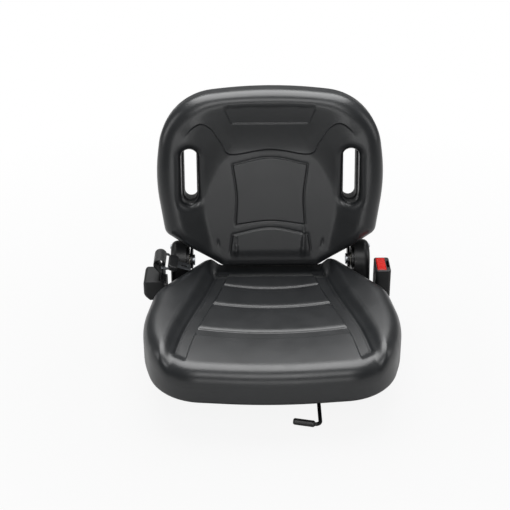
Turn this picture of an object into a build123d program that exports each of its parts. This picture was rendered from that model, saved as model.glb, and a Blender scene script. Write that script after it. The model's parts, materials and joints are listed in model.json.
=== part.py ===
from build123d import *
import os
from math import asin, atan2, cos, degrees, radians, sin, tan

os.makedirs("parts", exist_ok=True)

# Sizes are in millimetres. The origin is the centre of the four mounting holes, on the plane that
# the rails stand on. The person in the seat faces -Y, so their left hand is at +X.
LEFT = 1
RIGHT = -1
SIDES = ((LEFT, "left"), (RIGHT, "right"))

# Slide rails
RAIL_INSET = 20.0
RAIL_LENGTH = 240.0
RAIL_WIDTH = 46.0
RAIL_HEIGHT = 22.0
RAIL_SHEET = 3.0
RAIL_BEND = 3.0
RAIL_SLOT = 24.0
TONGUE_LENGTH = 26.0
TONGUE_WIDTH = 30.0
MOUNT_HOLE_DIAMETER = 9.0
UPPER_RAIL_LENGTH = 250.0
UPPER_RAIL_TOP = 30.0
HAT_TO_LIP_GAP = 1.5
FLANGE_HEIGHT = 9.5
FLANGE_TO_WALL_GAP = 1.5
SHOE_LENGTH = 45.0
SHOE_SPACING = 90.0

# Clearances
SLIDE_GAP = 0.3
RUNNING_CLEARANCE = 0.08
FIXED_CLEARANCE = 0.03
BOLT_CLEARANCE = 0.5
FILLET_SHARE = 0.95

# Slide latch and its release
RACK_WIDTH = 10.0
RACK_THICKNESS = 3.0
RACK_LENGTH = 220.0
RACK_HEIGHT = 15.5
RACK_PITCH = 14.0
RACK_NOTCH = 7.0
RACK_NOTCH_DEPTH = 6.0
CLAW_GAP = 0.5
CLAW_SHEET = 2.5
CLAW_HEIGHT = 8.0
CLAW_LENGTH = 30.0
CLAW_FINGER = 5.0
CLAW_HUB_DIAMETER = 14.0
ROD_DIAMETER = 7.0
ROD_X = 84.0
ROD_Z = 15.0
ROD_FRONT = -252.0
ROD_REAR = 112.0
ROD_BEND = 9.0
GRIP_DIAMETER = 12.0
GRIP_LENGTH = 40.0
GRIP_START = 10.0
GRIP_WALL_AT_END = 3.0
GRIP_SWEEP_BACK = 8.0
GRIP_RISE = 3.0
GRIP_REACH = 50.0
ROD_BRACKET_WIDTH = 22.0
ROD_BRACKET_SHEET = 4.0
ROD_BRACKET_DROP = 24.0
ROD_BRACKET_FLANGE = 16.0

# Cross members, pan and bolts
CROSS_WIDTH = 50.0
CROSS_OVERHANG = 10.0
CROSS_SHEET = 2.5
PAN_TOP = 62.0
PAN_SHEET = 2.0
PAN_RIM = 16.0
PAN_HALF_WIDTH = 165.0
PAN_FRONT = -225.0
PAN_SIDE_END = 62.0
PAN_REAR = 112.0
PAN_REAR_TAPER = 45.0
PAN_FRONT_RADIUS = 40.0
PAN_REAR_RADIUS = 20.0
BEAD_WIDTH = 22.0
BEAD_LENGTH = 112.0
BEAD_DEPTH = 3.0
BEAD_SPACING = 80.0
BOLT_DIAMETER = 8.0
BOLT_FLATS = 13.0
BOLT_HEAD = 5.3
NUT_HEIGHT = 6.5
BOLT_END = 1.5

# Seat cushion
CUSHION_FRONT = -266.0
CUSHION_CORNER_Y = -246.0
CUSHION_CORNER_OVERHANG = 41.0
CUSHION_WIDEST_OVERHANG = 82.0
CUSHION_WIDEST_Y = -105.0
CUSHION_NOTCH_OVERHANG = 64.0
CUSHION_NOTCH_Y = 20.0
CUSHION_REAR_INSET = 31.0
CUSHION_REAR = 146.0
CUSHION_BOW_RADIUS = 900.0
CUSHION_CORNER_RADIUS = 108.0
CUSHION_SIDE_RADIUS = 260.0
CUSHION_NOTCH_RADIUS = 80.0
CUSHION_REAR_RADIUS = 40.0
BOLSTER_TOP = 146.0
CUSHION_TOP_RADIUS = 34.0
CUSHION_BOTTOM_RADIUS = 10.0
SEAT_FLOOR = 132.0
SEAT_ROLL_RADIUS = 36.0
SEAT_ROLL_START = -228.0
SEAT_FALL_START = 70.0
SEAT_SHELF = 120.0
SEAT_SHELF_START = 112.0
BOLSTER_FRONT_WIDTH = 57.0
CHANNEL_REAR_INSET = 53.0
CHANNEL_WALL_ANGLE = 52.0
STRIP_WIDTH = 24.0
PANEL_DEPTH = 3.0
GROOVE_WIDTH = 17.0
GROOVE_BOW = 17.0
GROOVE_REAR_Y = 33.0
GROOVE_MIDDLE_Y = -37.0
GROOVE_FRONT_Y = -125.0

# Hinge of the backrest
HINGE_Y = 150.0
HINGE_Z = 129.0
BRACKET_SHEET = 5.0
BRACKET_FRONT = -15.0
BRACKET_FOOT = 34.0
BRACKET_FOOT_TOP = 59.0
BRACKET_NECK_FRONT = 113.0
BRACKET_REAR = 180.0
BRACKET_EYE_RADIUS = 30.0
BRACKET_CORNER = 8.0
BRACKET_BOLT_Z = 52.0
BRACKET_BOLT_Y = (10.0, 46.0)
ARM_SHEET = 5.0
ARM_GAP = 2.0
ARM_EYE_RADIUS = 18.0
ARM_FLANGE_WIDTH = 45.0
ARM_FLANGE_FROM = 30.0
ARM_FLANGE_TO = 118.0
ARM_BOLTS_AT = (64.0, 100.0)
ARM_BOLT_INSET = 24.0
SHAFT_DIAMETER = 14.0
SHAFT_HEAD_DIAMETER = 22.0
SHAFT_HEAD = 4.0
BUSH_WALL = 2.5
BUSH_FLANGE_DIAMETER = 26.0
HINGE_NUT_FLATS = 21.0
HINGE_NUT_HEIGHT = 9.0

# Recline lock on the left side
LOCK_GAP = 7.0
LOCK_SHEET = 4.0
QUADRANT_RADIUS = 34.0
QUADRANT_SPREAD = 110.0
QUADRANT_HUB_DIAMETER = 27.0
TOOTH_PITCH = 7.5
TOOTH_DEPTH = 3.0
PAWL_Y = 122.0
PAWL_Z = 92.0
PAWL_GAP = 0.5
PAWL_REACH = 34.0
PAWL_TIP_RISE = 5.0
PAWL_PIN_DIAMETER = 8.0
PAWL_PIN_HEAD_DIAMETER = 13.0
PAWL_PIN_HEAD = 3.0
LEVER_WIDTH = 13.0
LEVER_RUN_Z = 20.0
LEVER_END = -40.0
LEVER_GRIP_LENGTH = 72.0
LEVER_GRIP_WIDTH = 14.0
LEVER_GRIP_HEIGHT = 20.0
LEVER_GRIP_OVERLAP = 26.0

# Hinge covers
COVER_DEPTH = 32.0
COVER_RADIUS = 40.0
COVER_FOOT_RADIUS = 24.0
COVER_FOOT_Y = 125.0
COVER_FOOT_Z = 88.0
COVER_WALL = 2.5
COVER_EDGE_RADIUS = 13.0
COVER_LEVER_SLOT = 8.0
COVER_LEVER_ROOM = 17.0
COVER_BOSS_DIAMETER = 12.0
COVER_SCREW_DIAMETER = 5.0
COVER_SCREW_HEAD_DIAMETER = 9.0
COVER_SCREW_HEAD = 2.6
COVER_SCREW_RECESS = 5.4
COVER_SCREW_RECESS_WIDTH = 1.2
COVER_SCREW_Y = 168.0
COVER_SCREW_Z = 150.0

# Backrest
BACK_LEAN = 12.0
BACK_Y = 170.0
BACK_Z = 118.0
BACK_DEPTH = 85.0
BACK_FOOT_INSET = 70.0
BACK_LOW_OVERHANG = 45.0
BACK_LOW_V = 77.0
BACK_WIDEST_OVERHANG = 62.0
BACK_WIDEST_V = 190.0
BACK_TOP_OVERHANG = 41.0
BACK_TOP_V = 347.0
BACK_CROWN_RISE = 23.0
BACK_FOOT_RADIUS = 25.0
BACK_LOW_RADIUS = 22.0
BACK_SIDE_RADIUS = 350.0
BACK_TOP_RADIUS = 118.0
BACK_CROWN_RADIUS = 900.0
BACK_ROLL_RADIUS = 33.0
BACK_SEAM_RADIUS = 5.0
SHELL_RIM = 12.0
SHELL_WALL = 3.0
SHELL_INSET = 1.5
SHELL_EDGE_RADIUS = 8.0
SHELL_PLAY = 0.5
SLOT_INSET = 68.0
SLOT_V = 192.0
SLOT_WIDTH = 26.0
SLOT_LENGTH = 106.0
COLLAR_WALL = 2.5
COLLAR_HEIGHT = 34.0
SLOT_FLARE = 18.0
DISH_FLOOR = 58.0
DISH_FLOOR_LOW_INSET = 131.0
DISH_FLOOR_MID_INSET = 91.0
DISH_FLOOR_MID_V = 145.0
DISH_FLOOR_TOP_INSET = 143.0
DISH_FLOOR_TOP_V = 240.0
DISH_RIM_LOW_INSET = 77.0
DISH_RIM_MID_INSET = 35.0
DISH_RIM_MID_V = 160.0
DISH_RIM_TOP_INSET = 87.0
DISH_RIM_TOP_DROP = 22.0
DISH_BELOW = 40.0
DISH_CORNER = 30.0
SHIELD_TOP_V = 213.0
SHIELD_FOOT_V = 92.0
SHIELD_TOP_HALF = 73.0
SHIELD_FOOT_HALF = 68.0
SHIELD_BOW = 14.0
LUMBAR_TOP_V = 69.0
LUMBAR_FOOT_V = 12.0
LUMBAR_HALF = 78.0
HEAD_PANEL_TOP_HALF = 90.0
HEAD_PANEL_FOOT_HALF = 76.0
HEAD_PANEL_HEIGHT = 36.0
HEAD_PANEL_DROP = 54.0

# Belt brackets
BELT_SHEET = 4.0
BELT_SHELF = 54.0
BELT_BRACKET_Y = 86.0
BELT_BRACKET_LENGTH = 46.0
BELT_BRACKET_CORNER = 14.0
BELT_BOLT_SPACING = 20.0
BELT_BOLT_Z = 42.0
RETRACTOR_STANDOFF = 42.0
RETRACTOR_RISER_TOP = 126.0
BUCKLE_STANDOFF = 52.0
BUCKLE_RISER_TOP = 82.0

# Belt retractor on the right side
RETRACTOR_DEPTH = 41.0
RETRACTOR_LENGTH = 62.0
RETRACTOR_FOOT = 92.0
RETRACTOR_TOP = 133.0
RETRACTOR_WALL = 2.0
RETRACTOR_EDGE_RADIUS = 7.0
RETRACTOR_CHAMFER = 12.0
FRAME_SHEET = 2.5
FRAME_LENGTH = 54.0
FRAME_TAB_FOOT = 70.0
FRAME_TAB_WIDTH = 28.0
RETRACTOR_BOLT_Z = 80.0
SPOOL_STANDOFF = 23.0
SPOOL_Z = 112.0
SPOOL_DIAMETER = 8.0
ROLL_DIAMETER = 29.0
WEBBING_WIDTH = 46.0
WEBBING_THICKNESS = 1.2
MOUTH_WIDTH = 7.0
MOUTH_LENGTH = 50.0
LOOP_Z = 167.0
LOOP_DIAMETER = 24.0

# Belt tongue
TONGUE_DROOP = 18.0
TONGUE_PLATE = 2.5
TONGUE_SPAN = 62.0
TONGUE_BAR = 6.0
TONGUE_SLOT = 6.5
TONGUE_SLOT_SPAN = 50.0
TONGUE_SHOULDER = 8.0
TONGUE_TIP_WIDTH = 21.0
TONGUE_TIP_AT = 55.5
TONGUE_WINDOW = 9.0
TONGUE_WINDOW_LENGTH = 12.6
TONGUE_WINDOW_CORNER = 2.0
TONGUE_GRIP_FROM = 10.0
TONGUE_GRIP_TO = 28.5
TONGUE_GRIP_SPAN = 48.0
TONGUE_GRIP_THICKNESS = 11.0
TONGUE_GRIP_CORNER = 5.0
TONGUE_GRIP_EDGE = 2.5

# Belt buckle on the left side
BUCKLE_Y = 93.0
BUCKLE_PIVOT_Z = 66.0
BUCKLE_FOOT = 85.0
BUCKLE_TOP = 148.0
BUCKLE_LENGTH = 56.0
BUCKLE_THICKNESS = 30.0
BUCKLE_EDGE_RADIUS = 5.0
BUCKLE_FACE_RADIUS = 2.0
STRAP_SHEET = 3.0
STRAP_WIDTH = 30.0
STRAP_DEPTH_IN_BUCKLE = 14.0
ANCHOR_DIAMETER = 10.0
ANCHOR_FLATS = 16.0
ANCHOR_HEAD = 6.0
BUTTON_WIDTH = 18.0
BUTTON_LENGTH = 47.0
BUTTON_HEIGHT = 12.0
BUTTON_PROUD = 2.0
BUTTON_TRAVEL = 4.0
BUTTON_EDGE = 1.5
BUTTON_WALL = 3.0
BUTTON_POCKET_EXTRA = 3.0
MOUTH_GAP = 5.0
MOUTH_SPAN = 26.0
MOUTH_DEPTH = 26.0
MOUTH_WALL = 2.0

# Values that follow from the sizes above
RAIL_SPACING = 2 * (PAN_HALF_WIDTH - RAIL_INSET)
RAIL_X = RAIL_SPACING / 2
RAIL_INNER_WIDTH = RAIL_WIDTH - 2 * RAIL_SHEET
HAT_WIDTH = RAIL_SLOT - 2 * HAT_TO_LIP_GAP
FLANGE_WIDTH = RAIL_INNER_WIDTH - 2 * FLANGE_TO_WALL_GAP
MOUNT_SPACING_Y = RAIL_LENGTH + TONGUE_LENGTH
CROSS_SPACING = UPPER_RAIL_LENGTH - CROSS_WIDTH
CROSS_LENGTH = RAIL_SPACING + 2 * CROSS_OVERHANG
CROSS_TOP = PAN_TOP - PAN_SHEET
CROSS_HEIGHT = CROSS_TOP - UPPER_RAIL_TOP
CROSS_WEB_TOP = UPPER_RAIL_TOP + CROSS_SHEET
BOLT_HOLE_RADIUS = BOLT_DIAMETER / 2 + BOLT_CLEARANCE
PAN_REAR_HALF_WIDTH = PAN_HALF_WIDTH - PAN_REAR_TAPER
CUSHION_CORNER_X = PAN_HALF_WIDTH + CUSHION_CORNER_OVERHANG
CUSHION_WIDEST_X = PAN_HALF_WIDTH + CUSHION_WIDEST_OVERHANG
CUSHION_NOTCH_X = PAN_HALF_WIDTH + CUSHION_NOTCH_OVERHANG
CUSHION_REAR_X = PAN_HALF_WIDTH - CUSHION_REAR_INSET
CHANNEL_FRONT_HALF = CUSHION_WIDEST_X - BOLSTER_FRONT_WIDTH
CHANNEL_REAR_HALF = PAN_HALF_WIDTH - CHANNEL_REAR_INSET
BRACKET_X = PAN_HALF_WIDTH
BRACKET_OUTER = BRACKET_X + BRACKET_SHEET
ARM_OUTER = BRACKET_X - ARM_GAP
ARM_INNER = ARM_OUTER - ARM_SHEET
LOCK_X = BRACKET_OUTER + LOCK_GAP
LOCK_OUTER = LOCK_X + LOCK_SHEET
SHAFT_RADIUS = SHAFT_DIAMETER / 2
BUSH_BORE_RADIUS = SHAFT_RADIUS + RUNNING_CLEARANCE
BUSH_RADIUS = BUSH_BORE_RADIUS + BUSH_WALL
COVER_OUTER = BRACKET_OUTER + COVER_DEPTH
BELT_LEG_OUTER = BRACKET_OUTER + BELT_SHEET
RETRACTOR_X = BRACKET_OUTER + RETRACTOR_STANDOFF
SPOOL_X = RETRACTOR_X + SPOOL_STANDOFF
BUCKLE_RISER_X = BRACKET_OUTER + BUCKLE_STANDOFF
TAIL_X = SPOOL_X - ROLL_DIAMETER / 2 - SLIDE_GAP - WEBBING_THICKNESS / 2
STRAP_X = BUCKLE_RISER_X + SLIDE_GAP + STRAP_SHEET / 2
BACK_FOOT_X = PAN_HALF_WIDTH - BACK_FOOT_INSET
BACK_LOW_X = PAN_HALF_WIDTH + BACK_LOW_OVERHANG
BACK_WIDEST_X = PAN_HALF_WIDTH + BACK_WIDEST_OVERHANG
BACK_TOP_X = PAN_HALF_WIDTH + BACK_TOP_OVERHANG
BACK_CROWN_V = BACK_TOP_V + BACK_CROWN_RISE
SLOT_X = BACK_WIDEST_X - SLOT_INSET
DISH_FLOOR_LOW_X = BACK_WIDEST_X - DISH_FLOOR_LOW_INSET
DISH_FLOOR_MID_X = BACK_WIDEST_X - DISH_FLOOR_MID_INSET
DISH_FLOOR_TOP_X = BACK_WIDEST_X - DISH_FLOOR_TOP_INSET
DISH_RIM_LOW_X = BACK_WIDEST_X - DISH_RIM_LOW_INSET
DISH_RIM_MID_X = BACK_WIDEST_X - DISH_RIM_MID_INSET
DISH_RIM_TOP_X = BACK_WIDEST_X - DISH_RIM_TOP_INSET
DISH_RIM_TOP_V = BACK_CROWN_V - DISH_RIM_TOP_DROP
HEAD_PANEL_V = BACK_CROWN_V - HEAD_PANEL_DROP
BACK_UP = (0, sin(radians(BACK_LEAN)), cos(radians(BACK_LEAN)))
BACK_FRONT = (0, -cos(radians(BACK_LEAN)), sin(radians(BACK_LEAN)))
BACK_PLANE = Plane(origin=(0, BACK_Y, BACK_Z), x_dir=(1, 0, 0), z_dir=BACK_FRONT)
BACK_DEPTH_AXIS = Axis((0, BACK_Y, BACK_Z), BACK_FRONT)


def save(builder, label):
    builder.part.label = label
    export_step(builder.part, f"parts/{label}.step")


def mirrored(points):
    """Close a right half outline, given from front to rear, with its mirror image."""
    return points + [(-x, y) for x, y in reversed(points) if x != 0]


def rounded_outline(plane, corners):
    """Face of a mirror-image outline from (x, y, radius) corners of its +X half."""
    half = [(x, y) for x, y, _ in corners]
    radii = [radius for _, _, radius in corners]
    radii = radii + [radius for x, _, radius in reversed(corners) if x != 0]
    with BuildSketch(plane) as face:
        with BuildLine():
            FilletPolyline(*mirrored(half), radius=radii, close=True)
        make_face()
    return face.sketch


def hex_bolt(plane, diameter, flats, head, length):
    """Hex bolt whose head stands on the plane and whose shank runs down from it."""
    with BuildPart() as made:
        with BuildSketch(plane):
            RegularPolygon(flats / 2, 6, major_radius=False, rotation=30)
        extrude(amount=head)
        with BuildSketch(plane):
            Circle(diameter / 2)
        extrude(amount=-length)
    return made.part


def hex_nut(plane, diameter, flats, height):
    """Hex nut that stands on the plane."""
    with BuildPart() as made:
        with BuildSketch(plane):
            RegularPolygon(flats / 2, 6, major_radius=False, rotation=30)
            Circle(diameter / 2 + FIXED_CLEARANCE, mode=Mode.SUBTRACT)
        extrude(amount=height)
    return made.part


def across(side, x, y, z):
    """Plane square to X at the given side, facing away from the middle of the seat."""
    return Plane(origin=(side * x, y, z), x_dir=(0, 1, 0), z_dir=(side, 0, 0))


# Lower rails: folded channels with a bolt tongue at each end
for side, name in SIDES:
    with BuildPart() as lower_rail:
        with BuildSketch(Plane.XZ):
            with Locations((side * RAIL_X, RAIL_HEIGHT / 2)):
                RectangleRounded(RAIL_WIDTH, RAIL_HEIGHT, RAIL_BEND)
                Rectangle(RAIL_INNER_WIDTH, RAIL_HEIGHT - 2 * RAIL_SHEET, mode=Mode.SUBTRACT)
            with Locations((side * RAIL_X, RAIL_HEIGHT)):
                Rectangle(RAIL_SLOT, 3 * RAIL_SHEET, mode=Mode.SUBTRACT)
        extrude(amount=RAIL_LENGTH / 2, both=True)
        with BuildSketch(Plane.XY):
            with Locations((side * RAIL_X, 0)):
                RectangleRounded(TONGUE_WIDTH, RAIL_LENGTH + 2 * TONGUE_LENGTH, TONGUE_WIDTH / 3)
        extrude(amount=RAIL_SHEET)
        with BuildSketch(Plane.XY):
            with Locations((side * RAIL_X, MOUNT_SPACING_Y / 2), (side * RAIL_X, -MOUNT_SPACING_Y / 2)):
                Circle(MOUNT_HOLE_DIAMETER / 2)
        extrude(amount=RAIL_SHEET, mode=Mode.SUBTRACT)
    save(lower_rail, f"lower_rail_{name}")

# Latch rack: notched strip welded to the inner wall of the left lower rail
RACK_INNER = RAIL_X - RAIL_WIDTH / 2 - RACK_WIDTH
NOTCH_COUNT = int(RACK_LENGTH / RACK_PITCH / 2) * 2
with BuildPart() as latch_rack:
    with BuildSketch(Plane.XY.offset(RACK_HEIGHT)):
        with Locations((RACK_INNER + RACK_WIDTH / 2, 0)):
            Rectangle(RACK_WIDTH, RACK_LENGTH)
        with Locations((RACK_INNER, 0)):
            with GridLocations(RACK_PITCH, RACK_PITCH, 1, NOTCH_COUNT):
                Rectangle(2 * RACK_NOTCH_DEPTH, RACK_NOTCH, mode=Mode.SUBTRACT)
    extrude(amount=RACK_THICKNESS)
save(latch_rack, "latch_rack")

# Upper rails: hat sections that run inside the lower rails
for side, name in SIDES:
    with BuildPart() as upper_rail:
        with BuildSketch(Plane.XZ):
            with Locations((side * RAIL_X, FLANGE_HEIGHT)):
                Rectangle(FLANGE_WIDTH, RAIL_SHEET, align=(Align.CENTER, Align.MIN))
                Rectangle(HAT_WIDTH, UPPER_RAIL_TOP - FLANGE_HEIGHT, align=(Align.CENTER, Align.MIN))
                Rectangle(
                    HAT_WIDTH - 2 * RAIL_SHEET,
                    UPPER_RAIL_TOP - FLANGE_HEIGHT - RAIL_SHEET,
                    align=(Align.CENTER, Align.MIN),
                    mode=Mode.SUBTRACT,
                )
        extrude(amount=UPPER_RAIL_LENGTH / 2, both=True)
        with BuildSketch(Plane.XY.offset(UPPER_RAIL_TOP)):
            with Locations((side * RAIL_X, CROSS_SPACING / 2), (side * RAIL_X, -CROSS_SPACING / 2)):
                Circle(BOLT_HOLE_RADIUS)
        extrude(amount=-RAIL_SHEET, mode=Mode.SUBTRACT)
    save(upper_rail, f"upper_rail_{name}")

# Slide shoes: nylon blocks clipped round the flanges of the upper rails
with BuildPart() as slide_shoes:
    for side in (LEFT, RIGHT):
        for end in (-1, 1):
            with BuildSketch(Plane.XZ.offset(end * SHOE_SPACING / 2)):
                with Locations((side * RAIL_X, RAIL_HEIGHT / 2)):
                    Rectangle(RAIL_INNER_WIDTH - 2 * SLIDE_GAP, RAIL_HEIGHT - 2 * RAIL_SHEET - 2 * SLIDE_GAP)
                with Locations((side * RAIL_X, FLANGE_HEIGHT)):
                    Rectangle(
                        FLANGE_WIDTH, RAIL_SHEET, align=(Align.CENTER, Align.MIN), mode=Mode.SUBTRACT
                    )
                    Rectangle(
                        HAT_WIDTH, UPPER_RAIL_TOP, align=(Align.CENTER, Align.MIN), mode=Mode.SUBTRACT
                    )
            extrude(amount=SHOE_LENGTH / 2, both=True)
save(slide_shoes, "slide_shoes")

# Cross members: U channels that lift the pan off the rails
for end, name in ((-1, "front"), (1, "rear")):
    with BuildPart() as cross_member:
        with BuildSketch(Plane.YZ):
            with Locations((end * CROSS_SPACING / 2, UPPER_RAIL_TOP)):
                Rectangle(CROSS_WIDTH, CROSS_HEIGHT, align=(Align.CENTER, Align.MIN))
            with Locations((end * CROSS_SPACING / 2, CROSS_WEB_TOP)):
                Rectangle(
                    CROSS_WIDTH - 2 * CROSS_SHEET,
                    CROSS_HEIGHT,
                    align=(Align.CENTER, Align.MIN),
                    mode=Mode.SUBTRACT,
                )
        extrude(amount=CROSS_LENGTH / 2, both=True)
        with BuildSketch(Plane.XY.offset(UPPER_RAIL_TOP)):
            with Locations((RAIL_X, end * CROSS_SPACING / 2), (-RAIL_X, end * CROSS_SPACING / 2)):
                Circle(BOLT_HOLE_RADIUS)
        extrude(amount=CROSS_SHEET, mode=Mode.SUBTRACT)
    save(cross_member, f"cross_member_{name}")

RAIL_BOLT_POINTS = [
    (side * RAIL_X, end * CROSS_SPACING / 2) for side in (LEFT, RIGHT) for end in (-1, 1)
]
RAIL_NUT_FOOT = UPPER_RAIL_TOP - RAIL_SHEET - NUT_HEIGHT
with BuildPart() as rail_bolts:
    for x, y in RAIL_BOLT_POINTS:
        seat = Plane(origin=(x, y, CROSS_WEB_TOP))
        add(hex_bolt(seat, BOLT_DIAMETER, BOLT_FLATS, BOLT_HEAD, CROSS_WEB_TOP - RAIL_NUT_FOOT + BOLT_END))
save(rail_bolts, "rail_bolts")

with BuildPart() as rail_nuts:
    for x, y in RAIL_BOLT_POINTS:
        add(hex_nut(Plane(origin=(x, y, RAIL_NUT_FOOT)), BOLT_DIAMETER, BOLT_FLATS, NUT_HEIGHT))
save(rail_nuts, "rail_nuts")


# Seat pan: pressed plate with a rim turned down and three stiffening beads
def pan_outline(plane, inset):
    return rounded_outline(
        plane,
        [
            (PAN_HALF_WIDTH - inset, PAN_FRONT + inset, PAN_FRONT_RADIUS - inset),
            (PAN_HALF_WIDTH - inset, PAN_SIDE_END - inset / 2, PAN_REAR_RADIUS - inset),
            (PAN_REAR_HALF_WIDTH - inset / 2, PAN_REAR - inset, PAN_REAR_RADIUS - inset),
        ],
    )


BEAD_POINTS = [(-BEAD_SPACING, 0), (0, 0), (BEAD_SPACING, 0)]
with BuildPart() as seat_pan:
    extrude(pan_outline(Plane.XY.offset(PAN_TOP), 0), amount=-PAN_RIM)
    extrude(
        pan_outline(Plane.XY.offset(PAN_TOP - PAN_SHEET), PAN_SHEET),
        amount=-PAN_RIM,
        mode=Mode.SUBTRACT,
    )
    with BuildSketch(Plane.XY.offset(PAN_TOP - PAN_SHEET)):
        with Locations(*BEAD_POINTS):
            SlotOverall(BEAD_LENGTH, BEAD_WIDTH, rotation=90)
    extrude(amount=-BEAD_DEPTH)
    with BuildSketch(Plane.XY.offset(PAN_TOP)):
        with Locations(*BEAD_POINTS):
            SlotOverall(BEAD_LENGTH - 2 * PAN_SHEET, BEAD_WIDTH - 2 * PAN_SHEET, rotation=90)
    extrude(amount=-BEAD_DEPTH, mode=Mode.SUBTRACT)
    with BuildSketch(Plane.XY.offset(CROSS_TOP)):
        with Locations((0, CROSS_SPACING / 2)):
            Rectangle(2 * PAN_HALF_WIDTH, CROSS_WIDTH + 2 * BOLT_CLEARANCE)
    extrude(amount=-PAN_RIM, mode=Mode.SUBTRACT)
    for side in (LEFT, RIGHT):
        for y in BRACKET_BOLT_Y:
            with BuildSketch(across(side, BRACKET_X, y, BRACKET_BOLT_Z)):
                Circle(BOLT_HOLE_RADIUS)
            extrude(amount=-PAN_SHEET, mode=Mode.SUBTRACT)
save(seat_pan, "seat_pan")

# Seat cushion: the channel for the sitter is cut as one block, rolled over at the front edge and
# falling to a shelf under the backrest at the rear, with walls that lean outwards
SEAT_ROLL_Z = SEAT_FLOOR - SEAT_ROLL_RADIUS
CHANNEL_NARROWING = (SEAT_FLOOR - SEAT_ROLL_Z) * tan(radians(CHANNEL_WALL_ANGLE))
CHANNEL_TOP = BOLSTER_TOP + CUSHION_TOP_RADIUS
FALL_LENGTH = SEAT_SHELF_START - SEAT_FALL_START
FALL_DROP = SEAT_FLOOR - SEAT_SHELF
FALL_RADIUS = (FALL_LENGTH**2 + FALL_DROP**2) / (4 * FALL_DROP)
FALL_TURN = degrees(asin(FALL_LENGTH / 2 / FALL_RADIUS))
FALL_BEYOND_Y = 2 * CUSHION_REAR
with BuildPart() as channel:
    with BuildSketch(Plane.YZ):
        with BuildLine():
            roll = JernArc((SEAT_ROLL_START, SEAT_FLOOR), (-1, 0), SEAT_ROLL_RADIUS, 90)
            floor = Line((SEAT_ROLL_START, SEAT_FLOOR), (SEAT_FALL_START, SEAT_FLOOR))
            fall = JernArc(floor @ 1, (1, 0), FALL_RADIUS, -FALL_TURN)
            level = JernArc(fall @ 1, fall % 1, FALL_RADIUS, FALL_TURN)
            Polyline(
                level @ 1,
                (FALL_BEYOND_Y, SEAT_SHELF),
                (FALL_BEYOND_Y, CHANNEL_TOP),
                (2 * CUSHION_FRONT, CHANNEL_TOP),
                (2 * CUSHION_FRONT, SEAT_ROLL_Z),
                roll @ 1,
            )
        make_face()
    extrude(amount=CUSHION_WIDEST_X, both=True)
    with BuildSketch(Plane.XY.offset(SEAT_ROLL_Z)):
        with BuildLine():
            Polyline(
                *mirrored(
                    [
                        (CHANNEL_FRONT_HALF - CHANNEL_NARROWING, 2 * CUSHION_FRONT),
                        (CHANNEL_FRONT_HALF - CHANNEL_NARROWING, CUSHION_CORNER_Y),
                        (CHANNEL_REAR_HALF - CHANNEL_NARROWING, SEAT_FALL_START),
                        (CHANNEL_REAR_HALF - CHANNEL_NARROWING, 2 * FALL_BEYOND_Y),
                    ]
                ),
                close=True,
            )
        make_face()
    extrude(amount=CHANNEL_TOP - SEAT_ROLL_Z, taper=-CHANNEL_WALL_ANGLE, mode=Mode.INTERSECT)


def half_at(y, inset):
    """Half width of the sitting panel at a place along the seat."""
    share = (y - CUSHION_CORNER_Y) / (SEAT_FALL_START - CUSHION_CORNER_Y)
    return CHANNEL_FRONT_HALF + (CHANNEL_REAR_HALF - CHANNEL_FRONT_HALF) * share - inset


with BuildPart() as seat_cushion:
    outline = rounded_outline(
        Plane.XY.offset(PAN_TOP),
        [
            (0, CUSHION_FRONT, CUSHION_BOW_RADIUS),
            (CUSHION_CORNER_X, CUSHION_CORNER_Y, CUSHION_CORNER_RADIUS),
            (CUSHION_WIDEST_X, CUSHION_WIDEST_Y, CUSHION_SIDE_RADIUS),
            (CUSHION_NOTCH_X, CUSHION_NOTCH_Y, CUSHION_NOTCH_RADIUS),
            (CUSHION_REAR_X, CUSHION_REAR, CUSHION_REAR_RADIUS),
        ],
    )
    extrude(outline, amount=BOLSTER_TOP - PAN_TOP)
    fillet(seat_cushion.faces().sort_by(Axis.Z)[-1].edges(), CUSHION_TOP_RADIUS)
    fillet(seat_cushion.faces().sort_by(Axis.Z)[0].edges(), CUSHION_BOTTOM_RADIUS)
    add(channel.part, mode=Mode.SUBTRACT)
    with BuildSketch(Plane.XY.offset(SEAT_FLOOR)):
        for side in (LEFT, RIGHT):
            with BuildLine():
                Polyline(
                    (side * half_at(SEAT_ROLL_START, 0), SEAT_ROLL_START),
                    (side * half_at(SEAT_FALL_START, 0), SEAT_FALL_START),
                    (side * half_at(SEAT_FALL_START, STRIP_WIDTH), SEAT_FALL_START),
                    (side * half_at(SEAT_ROLL_START, STRIP_WIDTH), SEAT_ROLL_START),
                    close=True,
                )
            make_face()
        for y in (GROOVE_REAR_Y, GROOVE_MIDDLE_Y, GROOVE_FRONT_Y):
            half = half_at(y, STRIP_WIDTH)
            with BuildLine():
                back = ThreePointArc((-half, y + GROOVE_BOW), (0, y), (half, y + GROOVE_BOW))
                front = ThreePointArc(
                    (half, y + GROOVE_BOW - GROOVE_WIDTH),
                    (0, y - GROOVE_WIDTH),
                    (-half, y + GROOVE_BOW - GROOVE_WIDTH),
                )
                Line(back @ 1, front @ 0)
                Line(front @ 1, back @ 0)
            make_face()
    extrude(amount=-PANEL_DEPTH, mode=Mode.SUBTRACT)
save(seat_cushion, "seat_cushion")

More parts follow.
